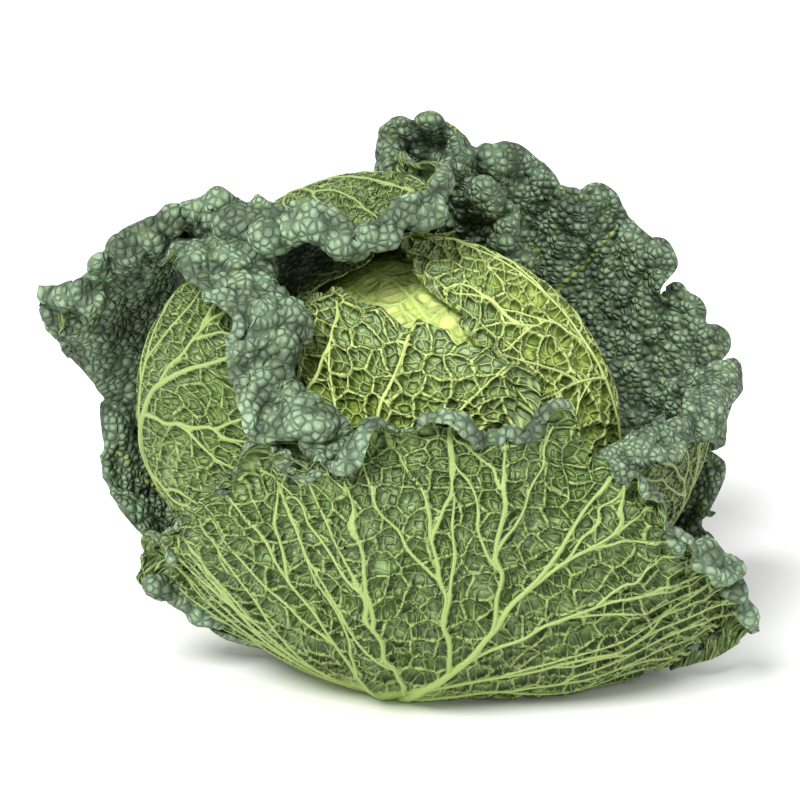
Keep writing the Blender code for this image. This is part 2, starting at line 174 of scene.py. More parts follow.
# Each leaf's own values, over those of its kind and of every leaf. Angles are in degrees as seen from the
# head's middle, lengths in mm, and shares go from the foot to the rim or along the rim.
# azimuth: the way the leaf faces, from the front to the right. foot: its climb, half width and reach.
# belly, belly_at: how far the fan's lines bulge at the left, middle and right, and at which share.
# flare: how late the reach turns from the foot's to the rim's. ruffle: height of the rim's waves.
# solid_columns: columns of the solid leaf, so that the roll's width varies like the solid's.
# grain: spacing of the points on the margin, the outer face and the inner face.
# veins: how many gaps the ribs leave along the rim. leave: how far up the midrib they leave it.
# midrib: its points, as shares along the rim and from the foot.
# quilt, puff: how deep the blade sinks between the ribs and between the small veins.
# clump, blister: their heights on the rolled rim, and times knobs on the rest of the leaf.
# lobes, crumple, mesh, ladder, pebbles, hub, rib_size, midrib_size: factors on the sizes that leaves share.
# rim: stations with their climb, swing and reach, and the width and turn of the margin that rolls back.
EVERY_LEAF = {
    "belly": (0, 0, 0), "belly_at": 0.5, "flare": 1.0, "ruffle": 3.0,
    "midrib": ((0.50, 0.06), (0.50, 0.25), (0.52, 0.6), (0.55, 1.0)),
    "puff": 0.9, "blister": 1.1, "crumple": 1.0, "lobes": 1.0, "mesh": 1.0, "ladder": 1.0, "pebbles": 1.0,
    "hub": 1.0, "rib_size": 1.0, "leave": 0.70,
}
HEAD_LEAF = {
    "ruffle": 0.4, "midrib": ((0.50, 0.22), (0.52, 0.6), (0.55, 1.0)), "rib_size": 0.7,
    "quilt": 1.4, "puff": 0.8, "clump": 0.8, "blister": 0.4, "knobs": 0.0, "crumple": 0.5,
}
KINDS = {
    "outer_leaf": {"knobs": 0.0},
    "dark_leaf": {"quilt": 1.3, "clump": 2.2, "blister": 1.0, "knobs": 1.0, "pebbles": 1.2},
    "head_leaf": HEAD_LEAF,
    "pale_leaf": HEAD_LEAF,
}
LEAVES = {
    "front_leaf": {
        "azimuth": 0, "foot": (12, 9, 105.5), "belly": (-7, 16, 0), "flare": 1.2, "solid_columns": 28,
        "slot": "outer_leaf", "grain": (1.36, 1.36, 5.4), "veins": 15,
        "midrib": (
            (0.44, 0.32), (0.50, 0.48), (0.545, 0.57), (0.565, 0.68), (0.585, 0.77), (0.597, 0.87),
            (0.605, 0.93), (0.615, 1.0),
        ),
        "quilt": 3.6, "puff": 1.6, "clump": 4.4, "crumple": 2.4, "hub": 2.4,
        "rim": (
            (28, -17, 110, 5, 20), (44, -37, 117, 6, 30), (53, -54, 136, 10, 70), (62, -60, 138, 11, 60),
            (80, -57, 130, 8, 50), (101, -52, 128, 7, 50), (117, -39, 123, 6, 50), (122, -26, 119, 8, 90),
            (123, -16, 122, 12, 140), (126, -8, 115, 7, 60), (130, -1, 114, 11, 110), (134, 7, 114, 22, 155),
            (133, 15, 116, 17, 145), (132, 23, 118, 9, 80), (127, 33, 124, 6, 50), (116, 42, 133, 10, 110),
            (99, 51, 144, 18, 140), (87, 61, 151, 19, 145), (70, 60, 156, 19, 145), (57, 55, 151, 12, 100),
            (43, 42, 139, 7, 40), (28, 18, 111, 5, 20),
        ),
    },
    "left_leaf": {
        "azimuth": -65, "foot": (14.5, 8, 98), "belly": (6, 17, 0), "belly_at": 0.68, "ruffle": 1.2,
        "solid_columns": 26, "slot": "outer_leaf", "grain": (1.15, 2.3, 4.6), "veins": 11,
        "midrib": ((0.37, 0.50), (0.38, 0.58), (0.44, 0.72), (0.50, 0.90), (0.52, 1.0)), "quilt": 2.8,
        "puff": 1.0, "clump": 6.0, "crumple": 1.6, "ladder": 1.7, "mesh": 0.75, "hub": 1.5,
        "rim": (
            (30, -16, 99, 5, 20), (56, -34, 107, 7, 30), (88, -44, 115, 8, 40), (116, -38, 123, 10, 70),
            (132, -33, 125, 34, 165), (137, -24, 121, 40, 170), (137, -12, 115, 40, 170),
            (135, 0, 109, 38, 170), (130, 13, 108, 33, 170), (129, 26, 104, 25, 165), (122, 38, 105, 12, 90),
            (90, 38, 103, 7, 30), (55, 26, 97.3, 6, 20), (30, 12, 95.6, 5, 20),
        ),
    },
    "hood_leaf": {
        "azimuth": -135, "foot": (12, 9, 104), "belly": (3, 16, 6), "belly_at": 0.60, "flare": 1.7,
        "ruffle": 2.5, "solid_columns": 28, "slot": "outer_leaf", "grain": (1.4, 2.8, 2.8), "veins": 13,
        "midrib": ((0.50, 0.06), (0.50, 0.30), (0.47, 0.7), (0.45, 1.0)), "quilt": 2.6, "puff": 1.2,
        "clump": 5.4, "knobs": 0.6, "crumple": 1.8, "ladder": 1.6, "mesh": 0.85,
        "rim": (
            (32, -12, 108, 5, 20), (60, -20, 121, 7, 30), (96, -22, 124, 8, 40), (125, -21, 118, 9, 50),
            (151, -16, 112, 14, 100), (169, -7, 112, 20, 140), (171, 7, 112, 21, 150),
            (162, 17, 116, 24, 155), (148, 23, 127, 25, 155), (136, 24, 142, 18, 145),
            (127, 27, 151, 13, 110), (117, 31, 160, 9, 80), (108, 34, 170, 8, 70), (100, 34, 181, 13, 110),
            (95, 28, 159, 8, 90), (85, 21, 140, 6, 30), (60, 14, 121, 6, 15), (34, 11, 107, 5, 20),
        ),
    },
    "back_right_leaf": {
        "azimuth": 145, "foot": (12, 9, 104), "belly": (0, -4, 3), "belly_at": 0.55, "flare": 1.5,
        "ruffle": 3.5, "solid_columns": 24, "slot": "dark_leaf", "grain": (1.45, 2.9, 1.45), "veins": 9,
        "midrib": ((0.50, 0.06), (0.48, 0.40), (0.455, 0.70), (0.447, 0.80), (0.41, 0.89), (0.395, 0.97)),
        "quilt": 1.4, "crumple": 1.3, "lobes": 0.7,
        "rim": (
            (34, -12, 112, 5, 20), (56, -20, 134, 8, 30), (74, -22, 152, 10, 40), (83, -22, 157, 9, 40),
            (89, -17, 150, 9, 30), (92, -12, 142, 8, 30), (96, -10, 148, 10, 40), (101, -3, 145, 10, 40),
            (105, 3, 146, 10, 40), (107, 9, 139, 9, 40), (110, 14, 140, 10, 50), (113, 18, 140, 10, 50),
            (116, 23, 137, 10, 50), (119, 30, 134, 10, 50), (106, 31, 132, 9, 40), (82, 28, 126, 7, 30),
            (55, 20, 117, 6, 20), (32, 12, 108, 5, 20),
        ),
    },
    "right_leaf": {
        "azimuth": 85, "foot": (14.5, 8, 98), "belly": (3, 6, 4), "belly_at": 0.6, "flare": 1.2,
        "ruffle": 1.2, "solid_columns": 20, "slot": "outer_leaf", "grain": (1.4, 2.8, 1.4), "veins": 8,
        "midrib": ((0.50, 0.06), (0.50, 0.25), (0.55, 0.6), (0.60, 1.0)), "quilt": 1.4, "clump": 3.4,
        "knobs": 1.0, "crumple": 1.8, "pebbles": 1.3,
        "rim": (
            (32, -14, 100, 5, 20), (62, -32, 106, 6, 20), (96, -40, 111, 7, 30), (119, -34, 114, 18, 160),
            (117, -24, 115, 26, 168), (112, -12, 119, 28, 168), (107, 1, 124, 26, 165),
            (100, 11, 128, 16, 120), (88, 22, 125, 9, 50), (66, 24, 118, 7, 30), (36, 14, 102, 5, 20),
        ),
    },
    "crown_leaf": {
        "azimuth": 180, "foot": (14.5, 8, 98), "flare": 2.2, "ruffle": 2.5, "solid_columns": 16,
        "slot": "dark_leaf", "grain": (1.6, 3.2, 1.6), "veins": 7,
        "midrib": ((0.50, 0.06), (0.50, 0.25), (0.47, 0.6), (0.45, 1.0)), "clump": 4.6, "blister": 1.1,
        "crumple": 3.0,
        "rim": (
            (34, -11, 99, 4, 10), (66, -17, 99, 5, 10), (102, -25, 100, 6, 20), (123, -22, 99, 8, 20),
            (131, -14, 110, 8, 40), (130, -5, 116, 7, 60), (127, -1, 138, 11, 100), (126, 5, 140, 11, 110),
            (121, 9, 136, 11, 80), (115, 11, 118, 7, 40), (98, 14, 108, 8, 30), (66, 17, 103, 6, 20),
            (34, 12, 100, 5, 20),
        ),
    },
    "far_left_leaf": {
        "azimuth": -110, "foot": (10.5, 5, 109.5), "belly": (6, 5, 4), "belly_at": 0.45, "flare": 0.85,
        "solid_columns": 14, "slot": "dark_leaf", "grain": (1.8, 2.5, 1.8), "veins": 8,
        "rim": (
            (30, -7, 118, 5, 20), (50, -9, 139, 8, 30), (66, -8, 151, 9, 40), (73, -3, 158, 10, 40),
            (75, 4, 155, 10, 50), (70, 11, 154, 10, 50), (63, 18, 146, 10, 40), (50, 20, 134, 7, 30),
            (32, 12, 115, 5, 20),
        ),
    },
    "low_right_leaf": {
        "azimuth": 91, "foot": (10.5, 6, 109), "belly": (2, 2, 2), "flare": 1.1, "solid_columns": 14,
        "slot": "dark_leaf", "grain": (1.7, 2.5, 1.7), "veins": 7,
        "rim": (
            (30, -9, 116, 5, 20), (46, -14, 127, 6, 20), (58, -11, 134, 9, 40), (66, -4, 135, 9, 40),
            (70, -1, 131, 7, 40), (75, 3, 134, 8, 40), (79, 6, 129, 7, 40), (84, 8, 130, 8, 40),
            (89, 11, 135, 8, 40), (82, 15, 137, 8, 30), (56, 14, 132, 6, 20), (32, 10, 117, 5, 20),
        ),
    },
    "low_back_leaf": {
        "azimuth": -172, "foot": (10.5, 6, 109), "belly": (4, 4, 4), "belly_at": 0.45, "flare": 0.85,
        "solid_columns": 16, "slot": "outer_leaf", "grain": (2.2, 2.2, 4.4), "veins": 12, "quilt": 2.0,
        "puff": 1.0, "clump": 2.0, "blister": 1.0, "knobs": 0.3,
        "rim": (
            (30, -10, 121, 5, 20), (52, -20, 142, 8, 30), (70, -25, 150, 10, 50), (80, -17, 160, 11, 60),
            (90, -12, 151, 12, 70), (86, -2, 160, 12, 70), (93, 6, 150, 11, 60), (82, 15, 158, 11, 60),
            (74, 23, 148, 10, 50), (54, 18, 145, 8, 30), (30, 10, 122, 5, 20),
        ),
    },
    "head_leaf_front": {
        "azimuth": -15, "foot": (17.8, 8, 87), "belly": (0, 1, 0), "ruffle": 0.6, "solid_columns": 16,
        "slot": "head_leaf", "grain": (1.4, 1.4, 5.6), "veins": 7, "quilt": 3.6, "puff": 1.7, "clump": 1.4,
        "blister": 0.8, "crumple": 1.2, "rib_size": 0.75, "mesh": 0.88, "leave": 0.1, "midrib_size": 0.3,
        "rim": (
            (40, -25, 88.5, 4, 10), (90, -50, 88.5, 4, 10), (140, -52, 88.5, 4, 10), (173, -48, 88.5, 5, 20),
            (168, -29, 88.5, 5, 30), (161, -15, 88.5, 5, 30), (157, -3, 88.5, 5, 30), (160, 9, 88.5, 6, 50),
            (159, 22, 88.5, 7, 80), (151, 34, 88.5, 7, 60), (126, 36, 88.5, 5, 20), (80, 38, 88.5, 4, 10),
            (40, 22, 88.5, 4, 10),
        ),
    },
    "head_leaf_right": {
        "azimuth": 70, "foot": (18, 8, 83.5), "belly": (0, 0.5, 0), "solid_columns": 16, "slot": "head_leaf",
        "grain": (1.45, 1.45, 5.8), "veins": 8, "quilt": 2.8, "puff": 1.4, "clump": 1.2, "blister": 0.8,
        "crumple": 0.8, "mesh": 0.85, "midrib_size": 0.5,
        "rim": (
            (45, -20, 84, 4, 10), (90, -22, 84, 4, 10), (126, -19, 84, 4, 20), (144, -16, 84, 5, 40),
            (161, -13, 84, 6, 60), (177, -4, 84, 6, 60), (193, 12, 86, 6, 40), (197, 26, 86.5, 5, 20),
            (172, 44, 82.5, 4, 10), (120, 50, 80.5, 4, 10), (60, 30, 83, 4, 10),
        ),
    },
    "head_leaf_left": {
        "azimuth": -140, "foot": (18.8, 8, 79.5), "belly": (0, 0.4, 0), "ruffle": 0.3, "solid_columns": 16,
        "slot": "pale_leaf", "grain": (1.9, 1.9, 5.0), "veins": 4, "quilt": 0.4, "puff": 0.3, "clump": 0.6,
        "blister": 0.3, "crumple": 0.6, "rib_size": 0.6, "mesh": 0.6, "leave": 0.1, "midrib_size": 0.3,
        "rim": (
            (45, -25, 79, 4, 10), (95, -40, 79, 4, 10), (140, -40, 79, 4, 10), (184, -36, 79.5, 4, 10),
            (212, -20, 79.5, 4, 10), (220, 2, 79.5, 4, 10), (200, 24, 79.5, 4, 10), (150, 44, 80, 4, 10),
            (100, 48, 80, 4, 10), (50, 30, 79, 4, 10),
        ),
    },
    "head_leaf_low_right": {
        "azimuth": 132, "foot": (16.8, 8, 87.5), "belly": (0, 1.5, 0), "solid_columns": 14,
        "slot": "head_leaf", "grain": (2.2, 2.2, 5.0), "veins": 8,
        "rim": (
            (42, -20, 87.5, 4, 10), (85, -22, 86, 5, 20), (104, -20, 84, 5, 20), (114, -10, 83, 5, 20),
            (116, 4, 83, 5, 20), (110, 22, 83.5, 4, 10), (85, 30, 85.5, 4, 10), (42, 24, 87.5, 4, 10),
        ),
    },
    "head_leaf_back": {
        "azimuth": -142, "foot": (16.8, 8, 87.5), "solid_columns": 14, "slot": "head_leaf",
        "grain": (2.5, 2.5, 5.0), "veins": 8,
        "rim": (
            (42, -24, 87.5, 4, 10), (85, -36, 87.5, 4, 10), (120, -34, 87.5, 4, 10), (146, -20, 88, 5, 20),
            (152, 4, 88, 5, 20), (138, 28, 88, 4, 10), (95, 38, 88, 4, 10), (45, 26, 87.5, 4, 10),
        ),
    },
}


def srgb(red, green, blue):
    """A colour given as 0 to 255 on the screen, in Blender's linear values."""
    shares = (value / 255 for value in (red, green, blue))
    return tuple(s / 12.92 if s <= 0.04045 else ((s + 0.055) / 1.055) ** 2.4 for s in shares)


def length_property(name, description, metres):
    words = {"name": name, "description": description}
    return bpy.props.FloatProperty(**words, unit="LENGTH", precision=4, default=metres)


def colour_property(name, description, *screen_colour):
    words = {"name": name, "description": description}
    return bpy.props.FloatVectorProperty(**words, subtype="COLOR", min=0, max=1, default=srgb(*screen_colour))


def share_property(name, description, share, low, high):
    return bpy.props.FloatProperty(name=name, description=description, default=share, min=low, max=high)


class CabbageShape(bpy.types.PropertyGroup):
    """Sizes of the relief that every leaf shares."""

    net_cell: length_property("Net cell", "Width of the cells between net veins", 0.0122)
    mesh_cell: length_property("Mesh cell", "Width of the cells between the smaller veins", 0.0052)
    clump: length_property("Clump", "Width of a clump of blisters", 0.0104)
    blister: length_property("Blister", "Width of one blister", 0.0041)
    blade: length_property("Blade", "Thickness of the blade between veins", 0.0007)
    rib_radius: length_property("Rib", "Half the width of a rib where it leaves the base", 0.0013)
    midrib_radius: length_property("Midrib", "Half the width of the midrib at the base", 0.0042)
    crumple: length_property("Crumple", "Height of the crumples along the rim", 0.0028)
    lobe: length_property("Lobe", "How far the outline's lobes reach in and out", 0.0045)
    crowding: share_property("Crowding", "How much smaller the cells get towards the rim", 0.25, 0, 1)
    ladder: share_property("Ladder", "How much wider than long the cells between ribs are", 0.85, 0.5, 2)


class CabbageColours(bpy.types.PropertyGroup):
    """Colours of the leaves' two faces, their veins, the heart and the stalk, and the painted shade along the
    veins and in the creases.
    """

    cell: colour_property("Outer cell", "Outer face between the veins", 142, 168, 114)
    cell_deep: colour_property("Outer cell, deep", "Outer face where its bloom is thin", 112, 140, 76)
    # The outer wall colour is painted shade: a dark green laid on the outer face along its veins, where the
    # pits' walls are in shade
    wall_shade: colour_property("Outer wall", "Outer face along its veins", 50, 74, 28)
    rib: colour_property("Rib", "Ribs near the rim", 154, 176, 104)
    rib_base: colour_property("Rib base", "Ribs and midrib near the leaf's base", 150, 172, 86)
    blister: colour_property("Blister", "Inner face on top of its blisters", 146, 172, 138)
    # The crease colour is painted shade: the dark green laid in the creases between the blisters of the inner
    # face
    crease_shade: colour_property("Crease", "Inner face in its creases", 32, 52, 30)
    head: colour_property("Head", "Head leaves between the veins", 162, 186, 84)
    # On the head leaves' outer face the head deep colour shows where the bloom is thin; on the pale leaf's
    # inner face it is the painted shade in the creases
    head_deep: colour_property("Head, deep", "Head leaves in the shade of the veins", 118, 144, 46)
    # The head wall colour is painted shade: a dark green laid on the head leaves along their veins, where the
    # pits' walls are in shade
    head_wall_shade: colour_property("Head wall", "Head leaves along their veins", 62, 88, 12)
    head_rib: colour_property("Head rib", "Ribs of the head leaves", 194, 212, 128)
    heart: colour_property("Heart", "The heart's folded leaves", 206, 220, 128)
    stalk: colour_property("Stalk", "The stalk's skin", 186, 202, 140)
    cut: colour_property("Cut", "The stalk's cut face, as it dries", 206, 196, 152)
    floor: colour_property("Floor", "The studio floor and background", 250, 250, 250)


def shape():
    return bpy.context.scene.cabbage_shape


def colours():
    return bpy.context.scene.cabbage_colours


# Points of a leaf


def gaps(points):
    """The distance from each point of a line to the next."""
    return np.linalg.norm(np.diff(points, axis=0), axis=-1)


def totals(steps):
    """0, and then the sum of the steps so far."""
    sums = np.cumsum(steps, axis=0)
    return np.concatenate((0 * sums[:1], sums))


def ease(line):
    """Moves each inner point of a line halfway to the middle between its neighbours."""
    line[1:-1] = 0.5 * line[1:-1] + 0.25 * (line[:-2] + line[2:])


def rim_at(leaf, shares):
    """The rim's stations at these shares of its length, on a smooth curve through the leaf's own stations."""
    points = np.array(leaf["rim"], float)
    padded = np.vstack((2 * points[0] - points[1], points, 2 * points[-1] - points[-2]))
    steps = np.linspace(0, len(points) - 1, 40 * len(points))
    index = np.minimum(steps.astype(int), len(points) - 2)
    u = (steps - index)[:, None]
    before, start, end, after = (padded[index + k] for k in range(4))
    curve = start + 0.5 * u * (
        (end - before)
        + u * ((2 * before - 5 * start + 4 * end - after) + u * (3 * (start - end) + after - before))
    )
    length = totals(gaps(curve[:, :2]))
    wanted = np.asarray(shares) * length[-1]
    return np.stack([np.interp(wanted, length, column) for column in curve.T], axis=1)


def from_middle(azimuth, climb, swing, reach):
    """Points at these angles (degrees) and reach (mm) from the middle of the head, in mm."""
    outward = FRONT * math.cos(azimuth) + RIGHT * math.sin(azimuth)
    sideways = RIGHT * math.cos(azimuth) - FRONT * math.sin(azimuth)
    climb, swing = np.radians(climb)[..., None], np.radians(swing)[..., None]
    direction = np.cos(swing) * (np.sin(climb) * outward - np.cos(climb) * AXIS) + np.sin(swing) * sideways
    return MIDDLE / MILLIMETRE + direction * np.asarray(reach)[..., None]


def fan(leaf, q, rim, shares):
    """The leaf's points at the shares q of the way from its foot to its rim, for each line of the fan."""
    foot_climb, foot_half, foot_reach = leaf["foot"]
    side = 2 * shares - 1
    climb = foot_climb + (rim[:, 0] - foot_climb) * q
    swing = foot_half * side + (rim[:, 1] - foot_half * side) * q
    belly = np.interp(side, (-1, 0, 1), leaf["belly"])
    swell = np.sin(math.pi * np.maximum(q, 0) ** (math.log(0.5) / math.log(leaf["belly_at"])))
    reach = foot_reach + (rim[:, 2] - foot_reach) * np.maximum(q, 0) ** leaf["flare"] + belly * swell
    return from_middle(math.radians(leaf["azimuth"]), climb, swing, reach)


def unit(vectors):
    return vectors / np.maximum(np.linalg.norm(vectors, axis=-1, keepdims=True), 1e-12)


def smooth_step(low, high, value):
    share = np.clip((value - low) / (high - low), 0, 1)
    return share * share * (3 - 2 * share)


def scatter(cells, seed):
    """A fixed draw between -1 and 1 for each whole-numbered cell."""
    across, up, deep, scale = SCATTER_WAVES
    wave = np.sin(cells[..., 0] * across + cells[..., 1] * up + seed * deep) * scale
    return 2 * (wave - np.floor(wave)) - 1


def soft_noise(points, size, seed):
    """Smooth noise between -1 and 1 over flat points, in lumps of this size (mm)."""
    points = points / size
    cell = np.floor(points)
    blend = points - cell
    blend = blend * blend * (3 - 2 * blend)
    total = 0
    for corner in ((0, 0), (0, 1), (1, 0), (1, 1)):
        weight = np.where(corner, blend, 1 - blend).prod(axis=-1)
        total = total + weight * scatter(cell + corner, seed)
    return total


def drift(points, size, seed):
    """A smooth shift, between -1 and 1 each way, for points of the leaf map."""
    return np.stack((soft_noise(points, size, seed), soft_noise(points, size, seed + 1)), axis=-1)


def noises(points, kinds, seed):
    """The sum of these noises, each given as its height, length and draw, over flat points."""
    return sum(height * soft_noise(points, length, seed + draw) for height, length, draw in kinds)


def along_rim(travel, kinds, seed):
    """The sum of these noises along the rim."""
    return noises(np.stack((travel, np.full_like(travel, 7.3)), axis=-1), kinds, seed)


def plan_grid(leaf):
    """The grid's columns, as shares of the rim, closer where the fan's lines are long, and its rows."""
    even = np.linspace(0, 1, 401)
    rim = rim_at(leaf, even)
    foot, edge = fan(leaf, np.array(((0,), (1,))), rim, even)
    line = np.linalg.norm(edge - foot, axis=1)
    step = gaps(edge)
    weight = step * (0.35 + (line[1:] + line[:-1]) / 2 / line.max())
    total = totals(weight)
    grain = leaf["grain"][0]
    columns = COLUMN_STEP * math.ceil(step.sum() / grain / COLUMN_STEP)
    shares = np.interp(np.linspace(0, total[-1], columns + 1), total, even)
    rows = math.ceil(np.percentile(line, 75) / grain)
    curl_rows = math.ceil(np.percentile(rim[:, 3], 80) / grain)
    return shares, rows, curl_rows


def roll_of(rim, ahead, outward, width, turn, radius, rows):
    """The margin's rings: from the rim they turn outward on an arc of this radius, then run on straight."""
    rings = []
    for step in range(1, rows + 1):
        gone = width * step / rows
        angle = np.minimum(gone / radius, abs(turn))
        straight = gone - angle * radius
        forth = radius * np.sin(angle) + straight * np.cos(angle)
        out = (radius * (1 - np.cos(angle)) + straight * np.sin(angle)) * np.sign(turn)
        rings.append(rim + ahead * forth[:, None] + outward * out[:, None])
    return rings


def sheet_of(leaf, shares, rows, curl_rows, seed):
    """The middle surface, and each point's mm from the foot, along and past the rim, and to the edge."""
    rim = rim_at(leaf, shares)
    foot, edge = fan(leaf, np.array(((0,), (1,))), rim, shares)
    travel = totals(gaps(edge))
    line = np.maximum(np.linalg.norm(edge - foot, axis=1), 20)
    lobe = along_rim(travel, LOBES, seed)
    lobe *= shape().lobe / MILLIMETRE * smooth_step(*LOBED_LINE, line) * leaf["lobes"]
    reach = 1 + lobe / line
    q = np.linspace(0, 1, rows + 1)[:, None] * reach
    blade = fan(leaf, q, rim, shares)
    ahead = unit(blade[-1] - fan(leaf, q[-1:] - RIM_STEP, rim, shares)[0])
    along = unit(np.gradient(edge, axis=0))
    ahead = unit(ahead - along * (ahead * along).sum(-1, keepdims=True))
    outward = np.cross(along, ahead)
    outward = -outward if (outward * (edge - MIDDLE / MILLIMETRE)).sum() < 0 else outward
    places = shares * leaf["solid_columns"] * EDGE_CUT_STEP
    cut = np.array([noise.noise(Vector((place, leaf["azimuth"], 0))) for place in places])
    width = np.maximum(rim[:, 3] * (1 + EDGE_CUT * cut) + 0.5 * lobe, 2)
    turn = np.radians(rim[:, 4]) * (1 + along_rim(travel, TURNS, seed))
    radius = CURL_RADIUS * (1 + along_rim(travel, RADII, seed))
    radius = np.minimum(radius, width / np.maximum(abs(turn), 1e-3))
    grid = np.concatenate((blade, roll_of(blade[-1], ahead, outward, width, turn, radius, curl_rows)))
    far = totals(gaps(grid))
    past_rim = far - far[rows]
    return grid, far, np.stack((travel + 0 * past_rim, past_rim), axis=-1), width - past_rim


def normals_of(grid):
    """Unit normals of a grid of points, out of the leaf's outer face."""
    normal = unit(np.cross(np.gradient(grid, axis=1), np.gradient(grid, axis=0)))
    hug = grid[: len(grid) // 2] - MIDDLE / MILLIMETRE
    return -normal if (normal[: len(grid) // 2] * hug).sum() < 0 else normal


def polar(far, angle):
    """Points of the leaf map at these distances (mm) and angles from where the fan's lines would meet."""
    return np.stack((far * np.sin(angle), far * np.cos(angle)), axis=-1)


def lay_flat(grid, far, rows):
    """Each point's distance from where the fan's lines would meet, in mm, and its angle there."""
    middle = (2 * rows) // 3
    foot_width = gaps(grid[0]).sum()
    gap = gaps(grid[middle])
    across = np.sqrt(np.maximum(gap**2 - np.diff(far[middle]) ** 2, 0.09 * gap**2))
    before_foot = far[middle].mean() * foot_width / max(across.sum() - foot_width, foot_width)
    reach = far[middle] + before_foot
    angle = totals(across / (reach[1:] + reach[:-1]) * 2)
    return far + before_foot, np.tile(angle - angle[-1] / 2, (len(far), 1))


# The veins on the leaf map


def cross(one, other):
    """How far two directions of the map turn from one to the other, times their lengths."""
    return one[..., 0] * other[..., 1] - one[..., 1] * other[..., 0]


def bend(start, pull, end, count=16):
    """An arc of this many steps from start to end, drawn towards pull."""
    t = np.linspace(0, 1, count + 1)[:, None]
    return (1 - t) ** 2 * start + 2 * t * (1 - t) * pull + t**2 * end


def curve_through(corners, count):
    """count points along a smooth curve through these points of the map."""
    length = totals(gaps(corners))
    wanted = np.linspace(0, length[-1], count)
    line = np.stack([np.interp(wanted, length, corner) for corner in corners.T], axis=-1)
    for _ in range(3):
        ease(line)
    return line


def sample(field, places):
    """Values of a field over the grid at places given in rings and columns, also between its points."""
    low = np.minimum(places.astype(int), np.array(field.shape[:2]) - 2)
    a, b = (places - low).T
    a, b = (a[:, None], b[:, None]) if field.ndim == 3 else (a, b)
    i, j = low.T
    return (
        field[i, j] * (1 - a) * (1 - b) + field[i, j + 1] * (1 - a) * b
        + field[i + 1, j] * a * (1 - b) + field[i + 1, j + 1] * a * b
    )


def places_of(flat, points):
    """Where on the grid these points of the map are, in rings and columns."""
    limit = np.array(flat.shape[:2]) - 1.001
    coarse = flat[::COARSE_STEP, ::COARSE_STEP]
    nearest = np.argmin(((points[:, None] - coarse.reshape(-1, 2)) ** 2).sum(axis=2), axis=1)
    places = 1.0 * COARSE_STEP * np.stack(np.divmod(nearest, coarse.shape[1]), axis=-1)
    down, along = np.gradient(flat, axis=0), np.gradient(flat, axis=1)
    for _ in range(6):
        places = np.clip(places, 0, limit)
        miss = points - sample(flat, places)
        d, a = sample(down, places), sample(along, places)
        area = cross(d, a)
        area = np.where(abs(area) < 1e-6, 1e-6, area)
        step = np.stack((cross(miss, a) / area, cross(d, miss) / area), axis=-1)
        places = places + np.clip(step, -COARSE_STEP, COARSE_STEP)
    return np.clip(places, 0, limit)


def grow_ribs(leaf, flat, net, shares, rows, curl_rows, seed):
    """Each rib's points on the leaf map and radii: the midrib, the ribs that leave it, and their forks."""

    def locate(share, ring):
        column = np.interp(share, shares, np.arange(len(shares)))
        return sample(flat, np.array([[min(max(ring, 0), rows + curl_rows - 0.001), column]]))[0]

    ribs = []

    def add_rib(points, wide, narrow, follow=True):
        height, length, draw = SWAY
        free = height * np.sin(np.linspace(0, math.pi, len(points)))[:, None] ** 0.5
        points = points + free * drift(points, length, seed + draw)
        if follow:
            points = follow_net(points, flat, net)
        ribs.append((points, wide * (narrow / wide) ** np.linspace(0, 1, len(points))))
        return points

    size = leaf["rib_size"]
    wide = shape().rib_radius / MILLIMETRE * size
    widest = shape().midrib_radius / MILLIMETRE * leaf.get("midrib_size", size)
    corners = np.array([locate(share, q * rows) for share, q in leaf["midrib"]])
    base, tip = corners[0], corners[-1]
    lean = tip - base
    foot = locate(0.5, 0)
    add_rib(bend(foot, foot + (base - foot) * 0.5, base), widest * 1.2, widest, False)
    spine = add_rib(curve_through(corners, 40), widest, MIDRIB_TIP * size, False)
    gap = (1 - 2 * RIM_MARGIN) / leaf["veins"]
    for number in range(leaf["veins"] + 1):
        share = RIM_MARGIN + gap * number + UNEVEN * gap * scatter(np.array((number, 3.0)), seed)
        if abs(share - leaf["midrib"][-1][0]) < 0.4 * gap:
            continue
        target = locate(share, rows + 0.05 * curl_rows)
        aim = target - base
        turn = math.degrees(abs(math.atan2(cross(lean, aim), lean @ aim)))
        leave = leaf["leave"] * math.exp(-((turn / BASE_TURN) ** 2))
        start = spine[int(leave * (len(spine) - 1))]
        aim = target - start
        pull = start + 0.34 * aim + unit(lean) * np.linalg.norm(aim) * 0.15 * (leave > 0.04)
        radius = wide * (1 - TIP_THINNER * leave)
        path = add_rib(bend(start, pull, target, 34), radius, RIB_TIP * size)
        spread = np.linalg.norm(locate(min(share + gap, 0.99), rows) - target)
        for first, vary, way in FORKS:
            fork = first + number % vary
            way = way if number % 2 else -way
            turned = min(max(share + way * gap * (0.38 + 0.08 * (number % 3)), 0.005), 0.995)
            end = locate(turned, rows)
            out = path[fork]
            heading = unit(path[fork + 1] - path[fork - 2])
            aside = heading[::-1] * (1, -1)
            aside = aside if aside @ (end - out - heading * ((end - out) @ heading)) > 0 else -aside
            away = spread * (fork + 8) / 42
            pulled = out + heading * 0.8 * away + aside * 0.55 * away
            add_rib(bend(out, pulled, end, 22), radius * FORK_RADIUS, FORK_TIP * size)
    return ribs


def follow_net(path, flat, net):
    """The rib moved sideways onto the borders of the net's cells, so that it turns where the net meets it."""
    heading = unit(np.gradient(path, axis=0))
    side = heading[:, ::-1] * (1, -1)
    offsets = np.linspace(-FOLLOW_REACH, FOLLOW_REACH, 13)
    tries = path[:, None] + offsets[:, None] * side[:, None]
    away = sample(net, places_of(flat, tries.reshape(-1, 2))).reshape(len(path), -1)
    chosen = np.zeros(len(path))
    for k in range(1, len(path) - 1):
        cost = away[k] + OFF_PATH * abs(offsets) + SWERVE * abs(offsets - chosen[k - 1])
        chosen[k] = offsets[np.argmin(cost)]
    chosen[-1] = chosen[-2]
    ease(chosen)
    return path + chosen[:, None] * side


